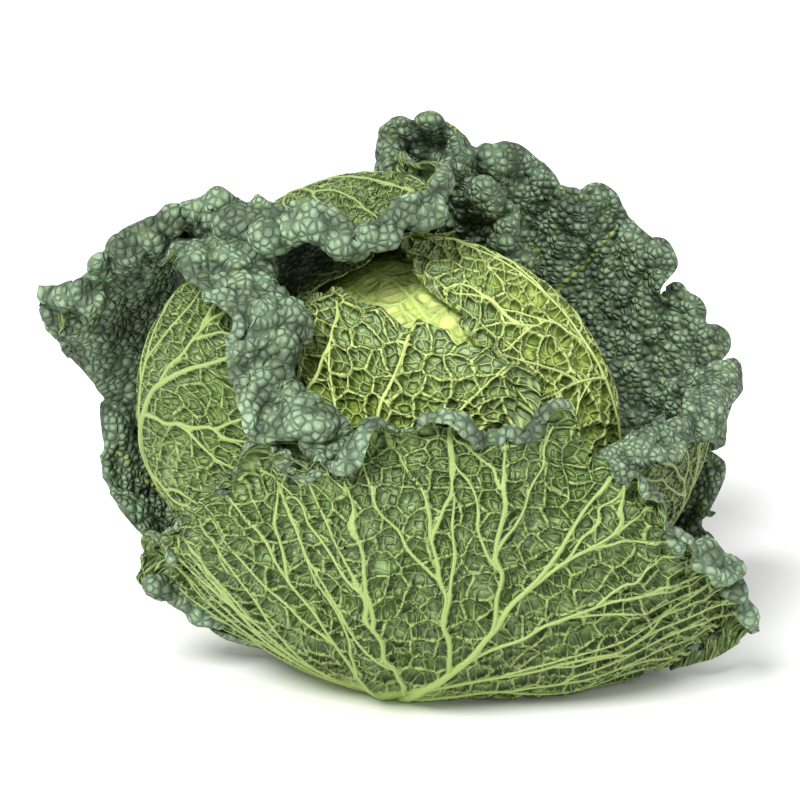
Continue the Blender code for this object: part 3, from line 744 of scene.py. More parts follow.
def rib_field(points, ribs):
    """For each point of the map: mm to the side of the nearest rib, negative inside it."""
    shape_before = points.shape[:-1]
    points = points.reshape(-1, 2)
    gap = np.full(len(points), RIB_REACH)
    for path, radius in ribs:
        for start, end, wide, narrow in zip(path[:-1], path[1:], radius[:-1], radius[1:]):
            step = end - start
            near = np.flatnonzero((abs(points - (start + step / 2)) < abs(step) / 2 + RIB_REACH).all(axis=1))
            if not len(near):
                continue
            away = points[near] - start
            t = np.clip(away @ step / max(step @ step, 1e-9), 0, 1)
            beside = np.linalg.norm(away - t[:, None] * step, axis=1) - (wide + (narrow - wide) * t)
            gap[near] = np.minimum(gap[near], beside)
    return gap.reshape(shape_before)


def read_cells(places, width, settings):
    """The distances, in shares of a cell, that the shaders' cells of this width (metres) give at places."""
    nodes = new_group("Read cells", "GeometryNodeTree", {"Geometry": "Geometry"}, {"Geometry": "Geometry"})
    where = nodes.add("GeometryNodeInputPosition").outputs[0]
    values = {"Vector": where, "Scale": MILLIMETRE / width, "Randomness": CELL_RANDOMNESS}
    away = nodes.add("ShaderNodeTexVoronoi", values, **settings).outputs["Distance"]
    given = nodes.add("NodeGroupInput").outputs[0]
    values = {"Geometry": given, "Name": "away", "Value": away}
    store = nodes.add("GeometryNodeStoreNamedAttribute", values, data_type="FLOAT", domain="POINT")
    nodes.add("NodeGroupOutput", {0: store.outputs["Geometry"]})

    count = places[..., 0].size
    points = np.zeros((count, 3))
    points[:, : places.shape[-1]] = places.reshape(count, -1)
    mesh = bpy.data.meshes.new("points")
    mesh.vertices.add(count)
    mesh.vertices.foreach_set("co", points.ravel())
    thing = bpy.data.objects.new("points", mesh)
    bpy.context.scene.collection.objects.link(thing)
    thing.modifiers.new("cells", "NODES").node_group = nodes.tree
    read = thing.evaluated_get(bpy.context.evaluated_depsgraph_get()).data
    distances = np.empty(count, np.float32)
    read.attributes["away"].data.foreach_get("value", distances)
    bpy.data.objects.remove(thing)
    bpy.data.meshes.remove(mesh)
    bpy.data.node_groups.remove(nodes.tree)
    return distances.reshape(places.shape[:-1]).astype(float)


def to_border(places, width):
    """How far these places of the leaf map are from the borders of the net's cells of this width, in mm."""
    return read_cells(places, width, NET_CELLS) * width / MILLIMETRE


def dome(places, width):
    """How high these points stand on a clump or blister of this width, from 0 to 1."""
    return np.exp(-((read_cells(places, width, BLISTER_CELLS) / DOME_RADIUS) ** 2))


def ruffled(leaf, grid, at_rim, v, seed):
    """The middle surface with the rim's slow waves and its finer crumples."""
    turns = 2 * math.pi * at_rim[0, :, 0] / RUFFLE_LENGTH
    wave = leaf["ruffle"] * (np.sin(turns + seed) + 0.5 * np.sin(turns / RUFFLE_SLOWER + 2 * seed))
    near_rim = np.clip((v - RUFFLE_START) / (1 - RUFFLE_START), 0, 1) ** 2
    crumple = noises(at_rim, CRUMPLES, seed)
    crumple *= shape().crumple / MILLIMETRE * (near_rim**2) * leaf["crumple"]
    return grid + normals_of(grid) * (wave * near_rim + crumple)[..., None]


def place_on_nets(leaf, flat, out, angle, share_out, seed):
    """Where each point lies on the nets, whose cells are bent, wide for their length and crowd at the rim."""
    warp = sum(height * drift(flat, length, seed + draw) for height, length, draw in BENDS)
    ladder = shape().ladder * leaf["ladder"]
    crowd = 1 + shape().crowding * np.clip(share_out, 0, 1.2) ** 2
    return (polar(out * crowd * ladder, angle / ladder) + warp) * leaf["mesh"] + NET_SHIFT * seed


def grow_leaf(name, leaf, seed):
    """The whole leaf, with its veins and blisters on both faces."""
    shares, rows, curl_rows = plan_grid(leaf)
    grid, far, at_rim, to_edge = sheet_of(leaf, shares, rows, curl_rows, seed)
    v = np.minimum(np.arange(rows + curl_rows + 1) / rows, 1)[:, None]
    grid = ruffled(leaf, grid, at_rim, v, seed)
    smooth = normals_of(grid)

    out, angle = lay_flat(grid, far, rows)
    flat = polar(out, angle)
    share_out = far / np.maximum(far[rows], 30)
    placed = place_on_nets(leaf, flat, out, angle, share_out, seed)
    net, mesh = to_border(placed, shape().net_cell), to_border(placed, shape().mesh_cell)
    clump = dome(grid * leaf["pebbles"] + BLISTER_SHIFT * seed, shape().clump)
    ribs = grow_ribs(leaf, flat, net, shares, rows, curl_rows, seed)
    gap, mid_gap = rib_field(flat, ribs), rib_field(flat, ribs[:2])

    base = ribs[1][0][0]
    from_base = np.linalg.norm(flat - base, axis=-1) - noises(flat, HUB_OUTLINE, seed)
    pale = 1 - smooth_step(HUB_EDGE[0] * leaf["hub"], HUB_EDGE[1] * leaf["hub"], from_base)
    pale = np.maximum(pale, 1 - smooth_step(*PALE_FOOT, v))
    relief = 1 - pale
    rolled = smooth_step(*ROLLED_FROM, v)
    blistered = np.maximum(rolled, leaf["knobs"])
    thin = smooth_step(*THIN_EDGE, to_edge)

    beside = np.minimum(np.maximum(gap, 0), net)
    sunk = 1 - ROLLED_SHALLOWER * rolled
    quilt = leaf["quilt"] * smooth_step(*QUILT_EDGE, beside) * sunk
    pit = leaf["puff"] * smooth_step(*PIT_EDGE, np.minimum(beside, mesh)) * sunk
    depth = (quilt + pit) * relief - LIFT * leaf["quilt"] * relief * (1 - rolled)
    knobs = leaf["clump"] * clump * (0.8 + noises(flat, CLUMP_HEIGHTS, seed)) * blistered
    rest = (grid - smooth * (knobs * relief * thin)[..., None]) * leaf["pebbles"] + BLISTER_SHIFT * seed
    knobs += leaf["blister"] * dome(rest, shape().blister) * blistered
    rise = UNDER_VEINS + (UNDER_BLADE + depth.clip(0) * (1 - rolled) + knobs) * relief * thin
    if leaf["grain"][2] > COARSE_INNER:
        behind = leaf["quilt"] + leaf["puff"] + FAR_BEHIND
        rise = rise + (behind - rise) * (1 - smooth_step(*FLAT_BEHIND, v)) * relief
    blade = shape().blade / MILLIMETRE * (1 + BASE_THICKER * pale * (1 - v))
    top = np.maximum(blade - depth, LEAST_THICKNESS - rise) * (EDGE_THICKNESS + (1 - EDGE_THICKNESS) * thin)

    inner = grid - smooth * rise[..., None]
    outer = grid + smooth * top[..., None]
    for face in (inner, outer):
        face[..., 2] = np.maximum(face[..., 2], FLOOR_GAP)
    marks = {
        "leaf_map": np.dstack((placed, np.zeros(placed.shape[:2]))),
        "rest": rest,
        "clump": clump,
        "rib_gap": gap,
        "mid_gap": mid_gap,
        "pale": pale,
        "out": share_out,
    }
    parts = [two_faces(inner, outer, marks, face_steps(grid, leaf["grain"], rows))]
    for path, radius in ribs:
        parts.append(rib_tube(places_of(flat, path), radius, outer, smooth, marks))
    return joined_mesh(name, parts)


def face_steps(grid, grain, rows):
    """For the outer and the inner face, how many columns apart each ring's points are: powers of two."""
    spacing = np.linalg.norm(np.diff(grid, axis=1), axis=2).mean(axis=1)
    ring = np.arange(len(grid))
    margin, outer, inner = grain
    outer_wanted = np.where(ring > 1.05 * rows, 2 * outer, outer)
    inner_wanted = np.where(ring < 0.9 * rows, inner, margin)
    both = []
    for wanted in (outer_wanted, inner_wanted):
        steps = 2.0 ** np.clip(np.floor(np.log2(wanted / spacing) + 0.5), 0, math.log2(COLUMN_STEP))
        both.append(steps.astype(int))
    for _ in range(3):
        for end in (0, -1):
            both[0][end] = both[1][end] = min(both[0][end], both[1][end])
        for steps in both:
            for k in range(1, len(steps)):
                steps[k] = min(steps[k], 2 * steps[k - 1])
            for k in range(len(steps) - 2, -1, -1):
                steps[k] = min(steps[k], 2 * steps[k + 1])
    return both


def face_of(index, steps):
    """Quads and triangles of one face, whose rings hold every first, second, fourth... column."""
    quads, triangles = [], []
    for low, high, step, next_step in zip(index[:-1], index[1:], steps[:-1], steps[1:]):
        wide, fine = max(step, next_step), min(step, next_step)
        if wide == fine:
            corners = (low[:-1:wide], low[wide::wide], high[wide::wide], high[:-1:wide])
            quads.append(np.stack(corners, axis=-1))
            continue
        few, many = (low, high) if step == wide else (high, low)
        a, b = few[:-1:wide], few[wide::wide]
        left, middle, right = many[:-1:wide], many[fine::wide], many[wide::wide]
        three = np.array(((a, middle, left), (a, b, middle), (b, right, middle)))
        three = three.transpose(0, 2, 1).reshape(-1, 3)
        triangles.append(three if step == wide else three[:, ::-1])
    return np.concatenate(quads), np.concatenate(triangles) if triangles else np.zeros((0, 3), int)


def two_faces(inner, outer, marks, steps):
    """The blade as one closed shell: its outer face, its inner face, and the edge that joins them."""
    rings, columns = inner.shape[:2]
    index = np.arange(rings * columns).reshape(rings, columns)
    outer_quads, outer_triangles = face_of(index, steps[0])
    inner_quads, inner_triangles = face_of(index + index.size, steps[1])
    foot = np.concatenate((index[0, :: steps[0][0]], index[1:, -1]))
    round_edge = np.concatenate((foot, index[-1, :: steps[0][-1]][::-1][1:], index[::-1, 0][1:-1]))
    after = np.roll(round_edge, -1)
    band = np.stack((after, round_edge, round_edge + index.size, after + index.size), axis=-1)
    points = np.concatenate((outer.reshape(-1, 3), inner.reshape(-1, 3)))
    values = {mark: np.concatenate([field.reshape(index.size, -1)] * 2) for mark, field in marks.items()}
    quads = np.concatenate((outer_quads, inner_quads[:, ::-1], band))
    triangles = np.concatenate((outer_triangles, inner_triangles[:, ::-1]))
    if inside_out(points, quads, triangles):
        quads, triangles = quads[:, ::-1], triangles[:, ::-1]
    slots = [len(outer_quads) * [0] + len(inner_quads) * [1] + len(band) * [0]]
    slots.append(len(outer_triangles) * [0] + len(inner_triangles) * [1])
    return points, quads, triangles, values, np.concatenate(slots)


def inside_out(points, quads, triangles):
    """Whether a closed shell's faces point inwards: its volume comes out negative."""
    corners = np.concatenate((quads[:, :3], quads[:, [0, 2, 3]], triangles))
    a, b, c = (points[corners[:, k]] for k in range(3))
    return (a * np.cross(b, c)).sum() < 0


def rib_tube(places, radius, outer, smooth, marks):
    """A rib that stands out of the outer face along these places of the grid, closed at both ends."""
    line = sample(outer, places)
    ease(line)
    up = unit(sample(smooth, places))
    along = unit(np.gradient(line, axis=0))
    up = unit(up - along * (up * along).sum(axis=1, keepdims=True))
    side = np.cross(along, up)
    radius = radius[:, None, None].copy()
    radius[0] *= TUBE_START
    radius[-1] *= TUBE_END
    turn = np.linspace(0, 2 * math.pi, RIB_SIDES, endpoint=False)[None, :, None]
    around = np.cos(turn) * side[:, None] + TUBE_RISE * np.sin(turn) * up[:, None]
    points = (line - TUBE_SINK * radius[:, 0] * up)[:, None] + around * radius
    points[..., 2] = np.maximum(points[..., 2], FLOOR_GAP)
    count = len(line)
    index = np.arange(count * RIB_SIDES).reshape(count, RIB_SIDES)
    beyond = np.roll(index, -1, axis=1)
    quads = np.stack((index[:-1], beyond[:-1], beyond[1:], index[1:]), axis=-1).reshape(-1, 4)
    caps = [(0, k, k + 1) for k in range(1, RIB_SIDES - 1)]
    last = index[-1, 0]
    caps += [(last, last + k + 1, last + k) for k in range(1, RIB_SIDES - 1)]
    points = points.reshape(-1, 3)
    triangles = np.array(caps)
    if inside_out(points, quads, triangles):
        quads, triangles = quads[:, ::-1], triangles[:, ::-1]
    along_rib = {mark: sample(field, places).reshape(count, -1) for mark, field in marks.items()}
    values = {mark: np.repeat(field, RIB_SIDES, axis=0) for mark, field in along_rib.items()}
    values["rib_gap"][:] = -1
    return points, quads, triangles, values, np.zeros(len(quads) + len(triangles), int)


def joined_mesh(name, parts):
    """One mesh in metres of all these shells. Its first material is the outer face, its second the inner."""
    points, quads, triangles, marks, slots = zip(*parts)
    before = np.cumsum([0] + [len(own) for own in points])
    slots = [own[: len(four)] for own, four in zip(slots, quads)] + [
        own[len(four) :] for own, four in zip(slots, quads)
    ]
    quads = np.concatenate([own + first for own, first in zip(quads, before)])
    triangles = np.concatenate([own + first for own, first in zip(triangles, before)])
    used, new = np.unique(np.concatenate((quads.ravel(), triangles.ravel())), return_inverse=True)
    quads, triangles = new[: quads.size].reshape(-1, 4), new[quads.size :].reshape(-1, 3)
    mesh = bpy.data.meshes.new(name)
    mesh.from_pydata(np.concatenate(points)[used] * MILLIMETRE, [], quads.tolist() + triangles.tolist())
    mesh.polygons.foreach_set("material_index", np.concatenate(slots).astype(np.int32))
    mesh.shade_smooth()
    for mark in marks[0]:
        values = np.concatenate([own[mark] for own in marks])[used].astype(np.float32)
        vector = values.shape[1] == 3
        layer = mesh.attributes.new(mark, "FLOAT_VECTOR" if vector else "FLOAT", "POINT")
        layer.data.foreach_set("vector" if vector else "value", values.ravel())
    return mesh


# Materials


class Nodes:
    """Short ways to add and join a material's or a group's nodes."""

    def __init__(self, tree):
        self.tree = tree

    def add(self, kind, values=None, **settings):
        node = self.tree.nodes.new(kind)
        for name, value in settings.items():
            setattr(node, name, value)
        for socket, value in (values or {}).items():
            self.put(value, node.inputs[socket])
        return node

    def put(self, value, socket):
        """Joins an output to the socket, or sets the socket's own value. A colour is opaque."""
        if isinstance(value, bpy.types.NodeSocket):
            self.tree.links.new(value, socket)
        else:
            socket.default_value = (*value, 1) if socket.type == "RGBA" else value

    def maths(self, operation, *values):
        return self.add("ShaderNodeMath", dict(enumerate(values)), operation=operation).outputs[0]

    def product(self, one, other):
        return self.maths("MULTIPLY", one, other)

    def ramp(self, value, low, high, start=0.0, end=1.0):
        """start at low and end at high, eased between them."""
        values = {"Value": value, "From Min": low, "From Max": high, "To Min": start, "To Max": end}
        return self.add("ShaderNodeMapRange", values, interpolation_type="SMOOTHSTEP").outputs[0]

    def blend(self, share, one, other, how="MIX"):
        values = {0: share, 6: one, 7: other}
        return self.add("ShaderNodeMix", values, data_type="RGBA", blend_type=how).outputs[2]

    def shade(self, colour, value, *ramp):
        """A colour times the grey that a ramp over the value gives."""
        factor = self.ramp(value, *ramp)
        grey = self.add("ShaderNodeCombineColor", {0: factor, 1: factor, 2: factor}).outputs[0]
        return self.blend(1.0, colour, grey, "MULTIPLY")

    def noise(self, place, scale, detail=3.0):
        values = {"Vector": place, "Scale": scale, "Detail": detail}
        return self.add("ShaderNodeTexNoise", values).outputs["Fac"]

    def attribute(self, name, output="Fac"):
        return self.add("ShaderNodeAttribute", attribute_name=name).outputs[output]

    def bump(self, strength, height):
        """The normal of a surface with this height, in mm."""
        values = {"Strength": strength, "Distance": MILLIMETRE, "Height": height}
        return self.add("ShaderNodeBump", values).outputs["Normal"]


def new_group(name, kind, inputs, outputs):
    """The nodes of a new group with these sockets, each with its type."""
    tree = bpy.data.node_groups.new(name, kind)
    for way, sockets in (("INPUT", inputs), ("OUTPUT", outputs)):
        for socket, value in sockets.items():
            tree.interface.new_socket(socket, in_out=way, socket_type="NodeSocket" + value)
    return Nodes(tree)


def leaf_cells_group():
    """The leaf's veins as masks, how far each point has sunk between them, and its height on its blister. The
    sinking also places the outer face's painted shade beside the veins, and the blister's height places the
    inner face's painted shade in its creases.
    """
    inputs = {"Map": "Vector", "Rest": "Vector", "Rib Gap": "Float"}
    outputs = dict.fromkeys(("Rib", "Net", "Mesh", "Wall", "Pit", "Blister"), "Float")
    nodes = new_group("Leaf cells", "ShaderNodeTree", inputs, outputs)
    given = nodes.add("NodeGroupInput").outputs

    def cells(source, width, settings):
        values = {"Vector": given[source], "Scale": MILLIMETRE / width, "Randomness": CELL_RANDOMNESS}
        return nodes.add("ShaderNodeTexVoronoi", values, **settings).outputs["Distance"]

    def border(width):
        return nodes.product(cells("Map", width, NET_CELLS), width / MILLIMETRE)

    net, mesh = border(shape().net_cell), border(shape().mesh_cell)
    beside = nodes.maths("MINIMUM", nodes.maths("MAXIMUM", given["Rib Gap"], 0.0), net)
    share = nodes.maths("DIVIDE", cells("Rest", shape().blister, BLISTER_CELLS), DOME_RADIUS)
    top = nodes.maths("EXPONENT", nodes.product(nodes.product(share, share), -1.0))
    # The crease mask is 0.4 at a crease between blisters and 1 away from it: it lowers the blisters' bump
    # there and, through the Blister mask, places the inner face's painted crease shade
    crease_shade = nodes.ramp(cells("Rest", shape().blister, CREASE_CELLS), 0.0, CREASE_WIDTH, 0.4, 1.0)
    masks = {
        "Rib": nodes.ramp(given["Rib Gap"], -0.1, 0.5, 1.0, 0.0),
        "Net": nodes.ramp(net, 0.3, 0.95, 1.0, 0.0),
        "Mesh": nodes.ramp(mesh, 0.10, 0.60, 1.0, 0.0),
        # Wall: 0 within 0.4 mm of a rib or net vein and 1 from 2.7 mm on; it deepens the pits and places the
        # painted shade along their walls
        "Wall": nodes.ramp(beside, 0.4, 2.7),
        # Pit: 0 at the small veins and 1 in the middle of their cells; it deepens the pits and places the
        # painted shade round the small veins
        "Pit": nodes.ramp(mesh, 0.2, 1.5),
        "Blister": nodes.product(top, crease_shade),
    }
    nodes.add("NodeGroupOutput", masks)
    return nodes.tree


def bloom_group():
    """The waxy bloom's pale patches and fine speckle, the wrinkles and the blotches, all over the object."""
    outputs = dict.fromkeys(("Patch", "Speckle", "Wrinkle", "Blotch"), "Float")
    nodes = new_group("Waxy bloom", "ShaderNodeTree", {}, outputs)
    place = nodes.add("ShaderNodeTexCoord").outputs["Object"]
    masks = {
        "Patch": nodes.ramp(nodes.noise(place, 38.0), 0.36, 0.66),
        "Speckle": nodes.noise(place, 900.0, 2.0),
        "Wrinkle": nodes.noise(place, 330.0, 2.0),
        "Blotch": nodes.noise(place, 110.0, 1.0),
    }
    nodes.add("NodeGroupOutput", masks)
    return nodes.tree


def group(name, build):
    return bpy.data.node_groups.get(name) or build()


def new_material(name):
    material = bpy.data.materials.new(name)
    material.use_nodes = True
    nodes = Nodes(material.node_tree)
    return material, nodes, material.node_tree.nodes["Principled BSDF"]


def start_leaf_face(name):
    """A leaf face's material with its veins, its blisters and its bloom as masks."""
    material, nodes, shader = new_material(name)
    values = {"Map": nodes.attribute("leaf_map", "Vector"), "Rest": nodes.attribute("rest", "Vector")}
    values["Rib Gap"] = nodes.attribute("rib_gap")
    cells = nodes.add("ShaderNodeGroup", values, node_tree=group("Leaf cells", leaf_cells_group))
    bloom = nodes.add("ShaderNodeGroup", node_tree=group("Waxy bloom", bloom_group))
    shader.inputs["Specular IOR Level"].default_value = 0.35
    return material, nodes, shader, cells.outputs, bloom.outputs


def finish_leaf_face(nodes, shader, body, bloom, height):
    """Adds the bloom's fine speckle, its dull and waxy patches and the relief of this height (mm)."""
    nodes.put(nodes.shade(body, bloom["Speckle"], 0.3, 0.7, 0.94, 1.06), shader.inputs["Base Color"])
    nodes.put(nodes.ramp(bloom["Patch"], 0.0, 1.0, 0.50, 0.64), shader.inputs["Roughness"])
    height = nodes.maths("ADD", height, nodes.product(bloom["Speckle"], 0.05))
    nodes.put(nodes.bump(1.0, height), shader.inputs["Normal"])


def outer_face(name, cell, deep, wall_shade, rib, rib_base, rim_colour=None, rough=1.0):
    """A leaf's outer face: light raised veins over pits, with painted shade along the pits' walls beside the
    veins, round the small veins and in the wrinkles' hollows.
    """
    material, nodes, shader, cells, bloom = start_leaf_face(name)
    pale, out = nodes.attribute("pale"), nodes.attribute("out")
    body = nodes.blend(bloom["Patch"], deep, cell)
    if rim_colour:
        body = nodes.blend(nodes.ramp(out, 0.78, 1.0), body, rim_colour)
    # Painted shade: the outer wall colour along the veins, fading out from 0.4 to 2.7 mm away from them
    body = nodes.blend(cells["Wall"], wall_shade, body)
    # Painted shade: up to 20% darker beside the small veins, a little lighter in the middle of their cells
    body = nodes.shade(body, cells["Pit"], 0.0, 0.9, 0.80, 1.02)
    # Painted shade and light on the wrinkles: darker, by up to a third, where their bump is low, and a little
    # lighter where it is high
    body = nodes.shade(body, bloom["Wrinkle"], 0.38, 0.56, 1 - 0.34 * rough, 1.1)
    body = nodes.shade(body, bloom["Blotch"], 0.36, 0.60, 1 - 0.28 * rough, 1.12)
    veined = nodes.blend(nodes.ramp(out, 0.15, 0.9), rib_base, rib)
    body = nodes.blend(nodes.product(cells["Mesh"], 0.62), body, veined)
    body = nodes.blend(nodes.product(cells["Net"], 0.95), body, veined)
    body = nodes.blend(cells["Rib"], body, veined)
    body = nodes.blend(nodes.product(pale, 0.9), body, rib_base)
    veins = nodes.maths("MULTIPLY_ADD", cells["Mesh"], 0.45, nodes.product(cells["Net"], 0.5))
    pits = nodes.maths("MULTIPLY_ADD", cells["Wall"], 1.6, nodes.product(cells["Pit"], 1.1))
    pits = nodes.maths("MULTIPLY_ADD", bloom["Wrinkle"], -0.8, pits)
    open_net = nodes.maths("SUBTRACT", 1.0, nodes.maths("MAXIMUM", pale, cells["Rib"]))
    height = nodes.product(nodes.maths("SUBTRACT", veins, pits), open_net)
    finish_leaf_face(nodes, shader, body, bloom, nodes.product(height, rough))
    return material


def inner_face(name, blister, dark_blister, crease_shade, rib):
    """A leaf's inner face: grey-green blisters in clumps, with painted shade in the creases between the
    blisters and between the clumps, and painted light on the clumps' tops.
    """
    material, nodes, shader, cells, bloom = start_leaf_face(name)
    pale, clump = nodes.attribute("pale"), nodes.attribute("clump")
    body = nodes.blend(bloom["Patch"], dark_blister, blister)
    # Painted shade and light: half as bright between the clumps, and 14% brighter on their tops
    body = nodes.shade(body, clump, 0.3, 0.66, 0.5, 1.14)
    # Painted shade: the crease colour where the blister's height falls low, at its creases
    body = nodes.blend(nodes.ramp(cells["Blister"], 0.14, 0.44, 0.4, 1.0), crease_shade, body)
    body = nodes.blend(nodes.ramp(bloom["Blotch"], 0.52, 0.70, 0.0, 0.16), body, rib)
    midrib = nodes.ramp(nodes.attribute("mid_gap"), -0.1, 0.4, 0.8, 0.0)
    body = nodes.blend(nodes.maths("MAXIMUM", midrib, nodes.product(pale, 0.8)), body, rib)
    height = nodes.maths("MULTIPLY_ADD", clump, 1.2, nodes.product(cells["Blister"], 2.6))
    height = nodes.product(height, nodes.maths("SUBTRACT", 1.0, pale))
    finish_leaf_face(nodes, shader, body, bloom, height)
    return material


def darker(colour, share):
    return tuple(share * value for value in colour)


def leaf_materials(slot):
    """The outer and the inner face of the leaves of one kind, made once."""
    names = (slot + " outer face", slot + " inner face")
    made = tuple(bpy.data.materials.get(name) for name in names)
    if all(made):
        return made
    c = colours()
    green = (c.cell, c.cell_deep, c.wall_shade, c.rib, c.rib_base)
    dark_blister = darker(c.blister, 0.66)
    head = (c.head, c.head_deep, c.head_wall_shade, c.head_rib)
    outer, inner = {
        "outer_leaf": (green, (c.blister, dark_blister, c.crease_shade, c.rib)),
        "dark_leaf": (green, (darker(c.blister, 0.8), dark_blister, c.crease_shade, c.rib_base)),
        "head_leaf": ((*head, c.head_rib, c.cell), head),
        # The pale leaf's outer face takes the head colour as its painted shade along the veins, and its inner
        # face takes the head deep colour as its painted crease shade
        "pale_leaf": (
            (c.heart, c.heart, c.head, c.head_rib, c.head_rib, None, 0.3),
            (c.heart, c.head, c.head_deep, c.head_rib),
        ),
    }[slot]
    return outer_face(names[0], *outer), inner_face(names[1], *inner)


def heart_material():
    """Pale folded leaves, mottled between the head's colour and the heart's."""
    material, nodes, shader = new_material("heart leaves")
    place = nodes.add("ShaderNodeTexCoord").outputs["Object"]
    body = nodes.blend(nodes.noise(place, 30.0), colours().head, colours().heart)
    nodes.put(body, shader.inputs["Base Color"])
    nodes.put(nodes.bump(0.6, nodes.noise(place, 120.0)), shader.inputs["Normal"])
    shader.inputs["Roughness"].default_value = 0.5
    return material


def stalk_material():
    """Pale skin with fibres along it; the cut face underneath is drier, with a ring of darker wood."""
    material, nodes, shader = new_material("stalk skin and cut")
    c = colours()
    place = nodes.add("ShaderNodeTexCoord").outputs["Object"]
    x, y, height = nodes.add("ShaderNodeSeparateXYZ", {0: place}).outputs
    stretched = nodes.add("ShaderNodeVectorMath", {0: place, 1: FIBRES}, operation="MULTIPLY").outputs[0]
    fibres = nodes.noise(stretched, 1.0)
    skin = nodes.blend(fibres, darker(c.stalk, 0.8), c.stalk)
    away = nodes.maths("SQRT", nodes.maths("ADD", nodes.product(x, x), nodes.product(y, y)))
    off_ring = nodes.maths("ABSOLUTE", nodes.maths("SUBTRACT", away, WOOD_RING))
    face = nodes.blend(fibres, darker(c.cut, 0.85), c.cut)
    face = nodes.blend(nodes.ramp(off_ring, 0.0004, 0.0018, 0.35, 0.0), face, srgb(120, 96, 56))
    nodes.put(nodes.blend(nodes.ramp(height, 0.0002, 0.0012), face, skin), shader.inputs["Base Color"])
    nodes.put(nodes.bump(0.5, fibres), shader.inputs["Normal"])
    shader.inputs["Roughness"].default_value = 0.6
    return material


def floor_material():
    material, nodes, shader = new_material("studio floor")
    nodes.put(colours().floor, shader.inputs["Base Color"])
    shader.inputs["Roughness"].default_value = 0.7
    return material


# Operators


def add_leaves(at_head):
    """Grows the leaves that wrap the head, or else the loose ones, each with its own seed."""
    for number, (name, own) in enumerate(LEAVES.items()):
        if name.startswith("head_") != at_head:
            continue
        leaf = {**EVERY_LEAF, **KINDS[own["slot"]], **own}
        piece = bpy.data.objects.new(name + "_blade", grow_leaf(name, leaf, 1.7 * number + 0.4))
        bpy.context.scene.collection.objects.link(piece)
        for material in leaf_materials(leaf["slot"]):
            piece.data.materials.append(material)
        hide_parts(name)
        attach(piece, "root")


class CABBAGE_OT_finish_core(bpy.types.Operator):
    """Gives the stalk and the heart their finish."""

    bl_idname = "cabbage.finish_core"
    bl_label = "Finish the stalk and heart"

    def execute(self, context):
        for node, material in (("stalk", stalk_material()), ("heart", heart_material())):
            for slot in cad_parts[node].material_slots:
                slot.material = material
        return {"FINISHED"}


class CABBAGE_OT_grow_outer_leaves(bpy.types.Operator):
    """Grows the loose outer leaves."""

    bl_idname = "cabbage.grow_outer_leaves"
    bl_label = "Grow the outer leaves"

    def execute(self, context):
        add_leaves(at_head=False)
        return {"FINISHED"}


class CABBAGE_OT_grow_head_leaves(bpy.types.Operator):
    """Grows the leaves that wrap the head."""

    bl_idname = "cabbage.grow_head_leaves"
    bl_label = "Grow the head leaves"

    def execute(self, context):
        add_leaves(at_head=True)
        return {"FINISHED"}


class CABBAGE_OT_set_stage(bpy.types.Operator):
    """Sets the floor, the soft studio light and the camera."""

    bl_idname = "cabbage.set_stage"
    bl_label = "Set the stage"

    def execute(self, context):
        scene = context.scene
        bpy.ops.mesh.primitive_plane_add(size=12, location=(0, 3.0, 0))
        floor = context.object
        floor.name = "studio_floor"
        floor.data.materials.append(floor_material())
        world = bpy.data.worlds.new("studio")
        world.use_nodes = True
        world.node_tree.nodes["Background"].inputs["Color"].default_value = (1, 1, 1, 1)
        world.node_tree.nodes["Background"].inputs["Strength"].default_value = WORLD_STRENGTH
        scene.world = world
        for name, (slant, angle, strength) in LIGHTS.items():
            light = bpy.data.lights.new(name, "SUN")
            light.energy = strength
            light.angle = math.radians(angle)
            lamp = bpy.data.objects.new(name, light)
            lamp.location = Vector(MIDDLE) + Vector(slant)
            lamp.rotation_euler = (-Vector(slant)).to_track_quat("-Z", "Y").to_euler()
            scene.collection.objects.link(lamp)
        set_camera(scene)
        scene.view_settings.view_transform = "Standard"
        return {"FINISHED"}


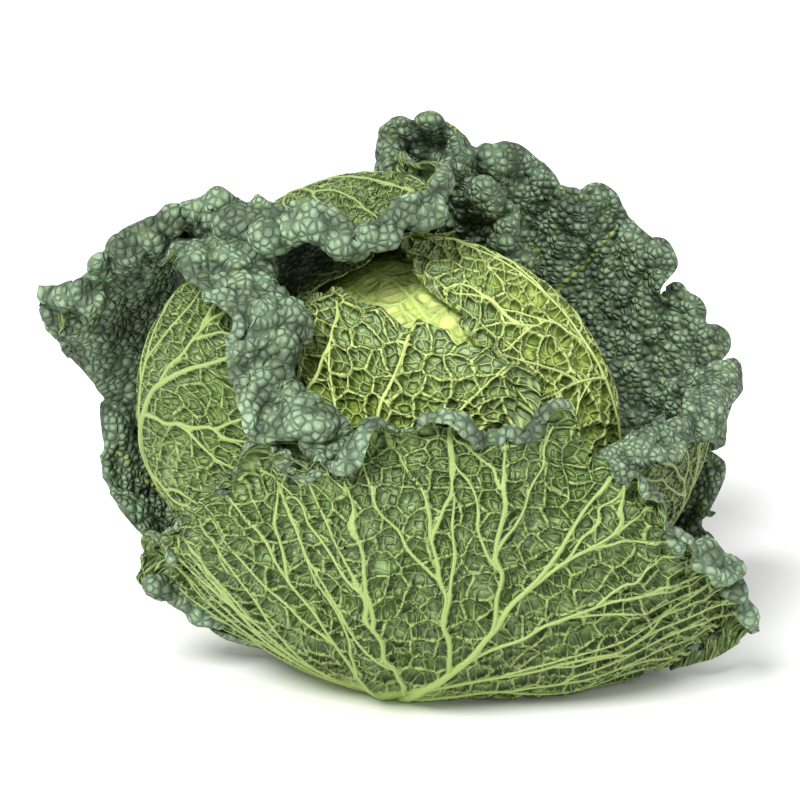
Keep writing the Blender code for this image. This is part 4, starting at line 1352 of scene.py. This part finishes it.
def set_camera(scene):
    """The camera looks slightly down, and the head's middle falls on its pixel of the photograph."""
    ahead = Vector((0, math.cos(CAMERA_ELEVATION), -math.sin(CAMERA_ELEVATION)))
    up = Vector((0, math.sin(CAMERA_ELEVATION), math.cos(CAMERA_ELEVATION)))
    right_of_centre = (MIDDLE_AT_PIXEL[0] - PICTURE_PIXELS / 2) * METRES_PER_PIXEL
    below_centre = (MIDDLE_AT_PIXEL[1] - PICTURE_PIXELS / 2) * METRES_PER_PIXEL
    aim = Vector(MIDDLE) - Vector((1, 0, 0)) * right_of_centre + up * below_centre
    camera = bpy.data.objects.new("camera", bpy.data.cameras.new("camera"))
    camera.data.sensor_width = SENSOR_WIDTH
    camera.data.lens = SENSOR_WIDTH * CAMERA_DISTANCE / (PICTURE_PIXELS * METRES_PER_PIXEL)
    camera.location = aim - ahead * CAMERA_DISTANCE
    camera.rotation_euler = ahead.to_track_quat("-Z", "Y").to_euler()
    scene.collection.objects.link(camera)
    scene.camera = camera


class CABBAGE_PT_panel(bpy.types.Panel):
    """The cabbage's sizes, colours and steps in the 3D view's sidebar."""

    bl_label = "Savoy Cabbage"
    bl_space_type = "VIEW_3D"
    bl_region_type = "UI"
    bl_category = "Cabbage"

    def draw(self, context):
        for settings in (context.scene.cabbage_shape, context.scene.cabbage_colours):
            box = self.layout.box()
            for name in settings.__annotations__:
                box.prop(settings, name)
        for operator in OPERATORS:
            self.layout.operator(operator.bl_idname)


OPERATORS = (
    CABBAGE_OT_finish_core,
    CABBAGE_OT_grow_outer_leaves,
    CABBAGE_OT_grow_head_leaves,
    CABBAGE_OT_set_stage,
)
CLASSES = (CabbageShape, CabbageColours, *OPERATORS, CABBAGE_PT_panel)


def register():
    for cls in CLASSES:
        bpy.utils.register_class(cls)
    bpy.types.Scene.cabbage_shape = bpy.props.PointerProperty(type=CabbageShape)
    bpy.types.Scene.cabbage_colours = bpy.props.PointerProperty(type=CabbageColours)


def unregister():
    del bpy.types.Scene.cabbage_colours
    del bpy.types.Scene.cabbage_shape
    for cls in reversed(CLASSES):
        bpy.utils.unregister_class(cls)


def main():
    register()
    bpy.ops.cabbage.finish_core()
    bpy.ops.cabbage.grow_outer_leaves()
    bpy.ops.cabbage.grow_head_leaves()
    bpy.ops.cabbage.set_stage()


if __name__ == "__main__":
    main()
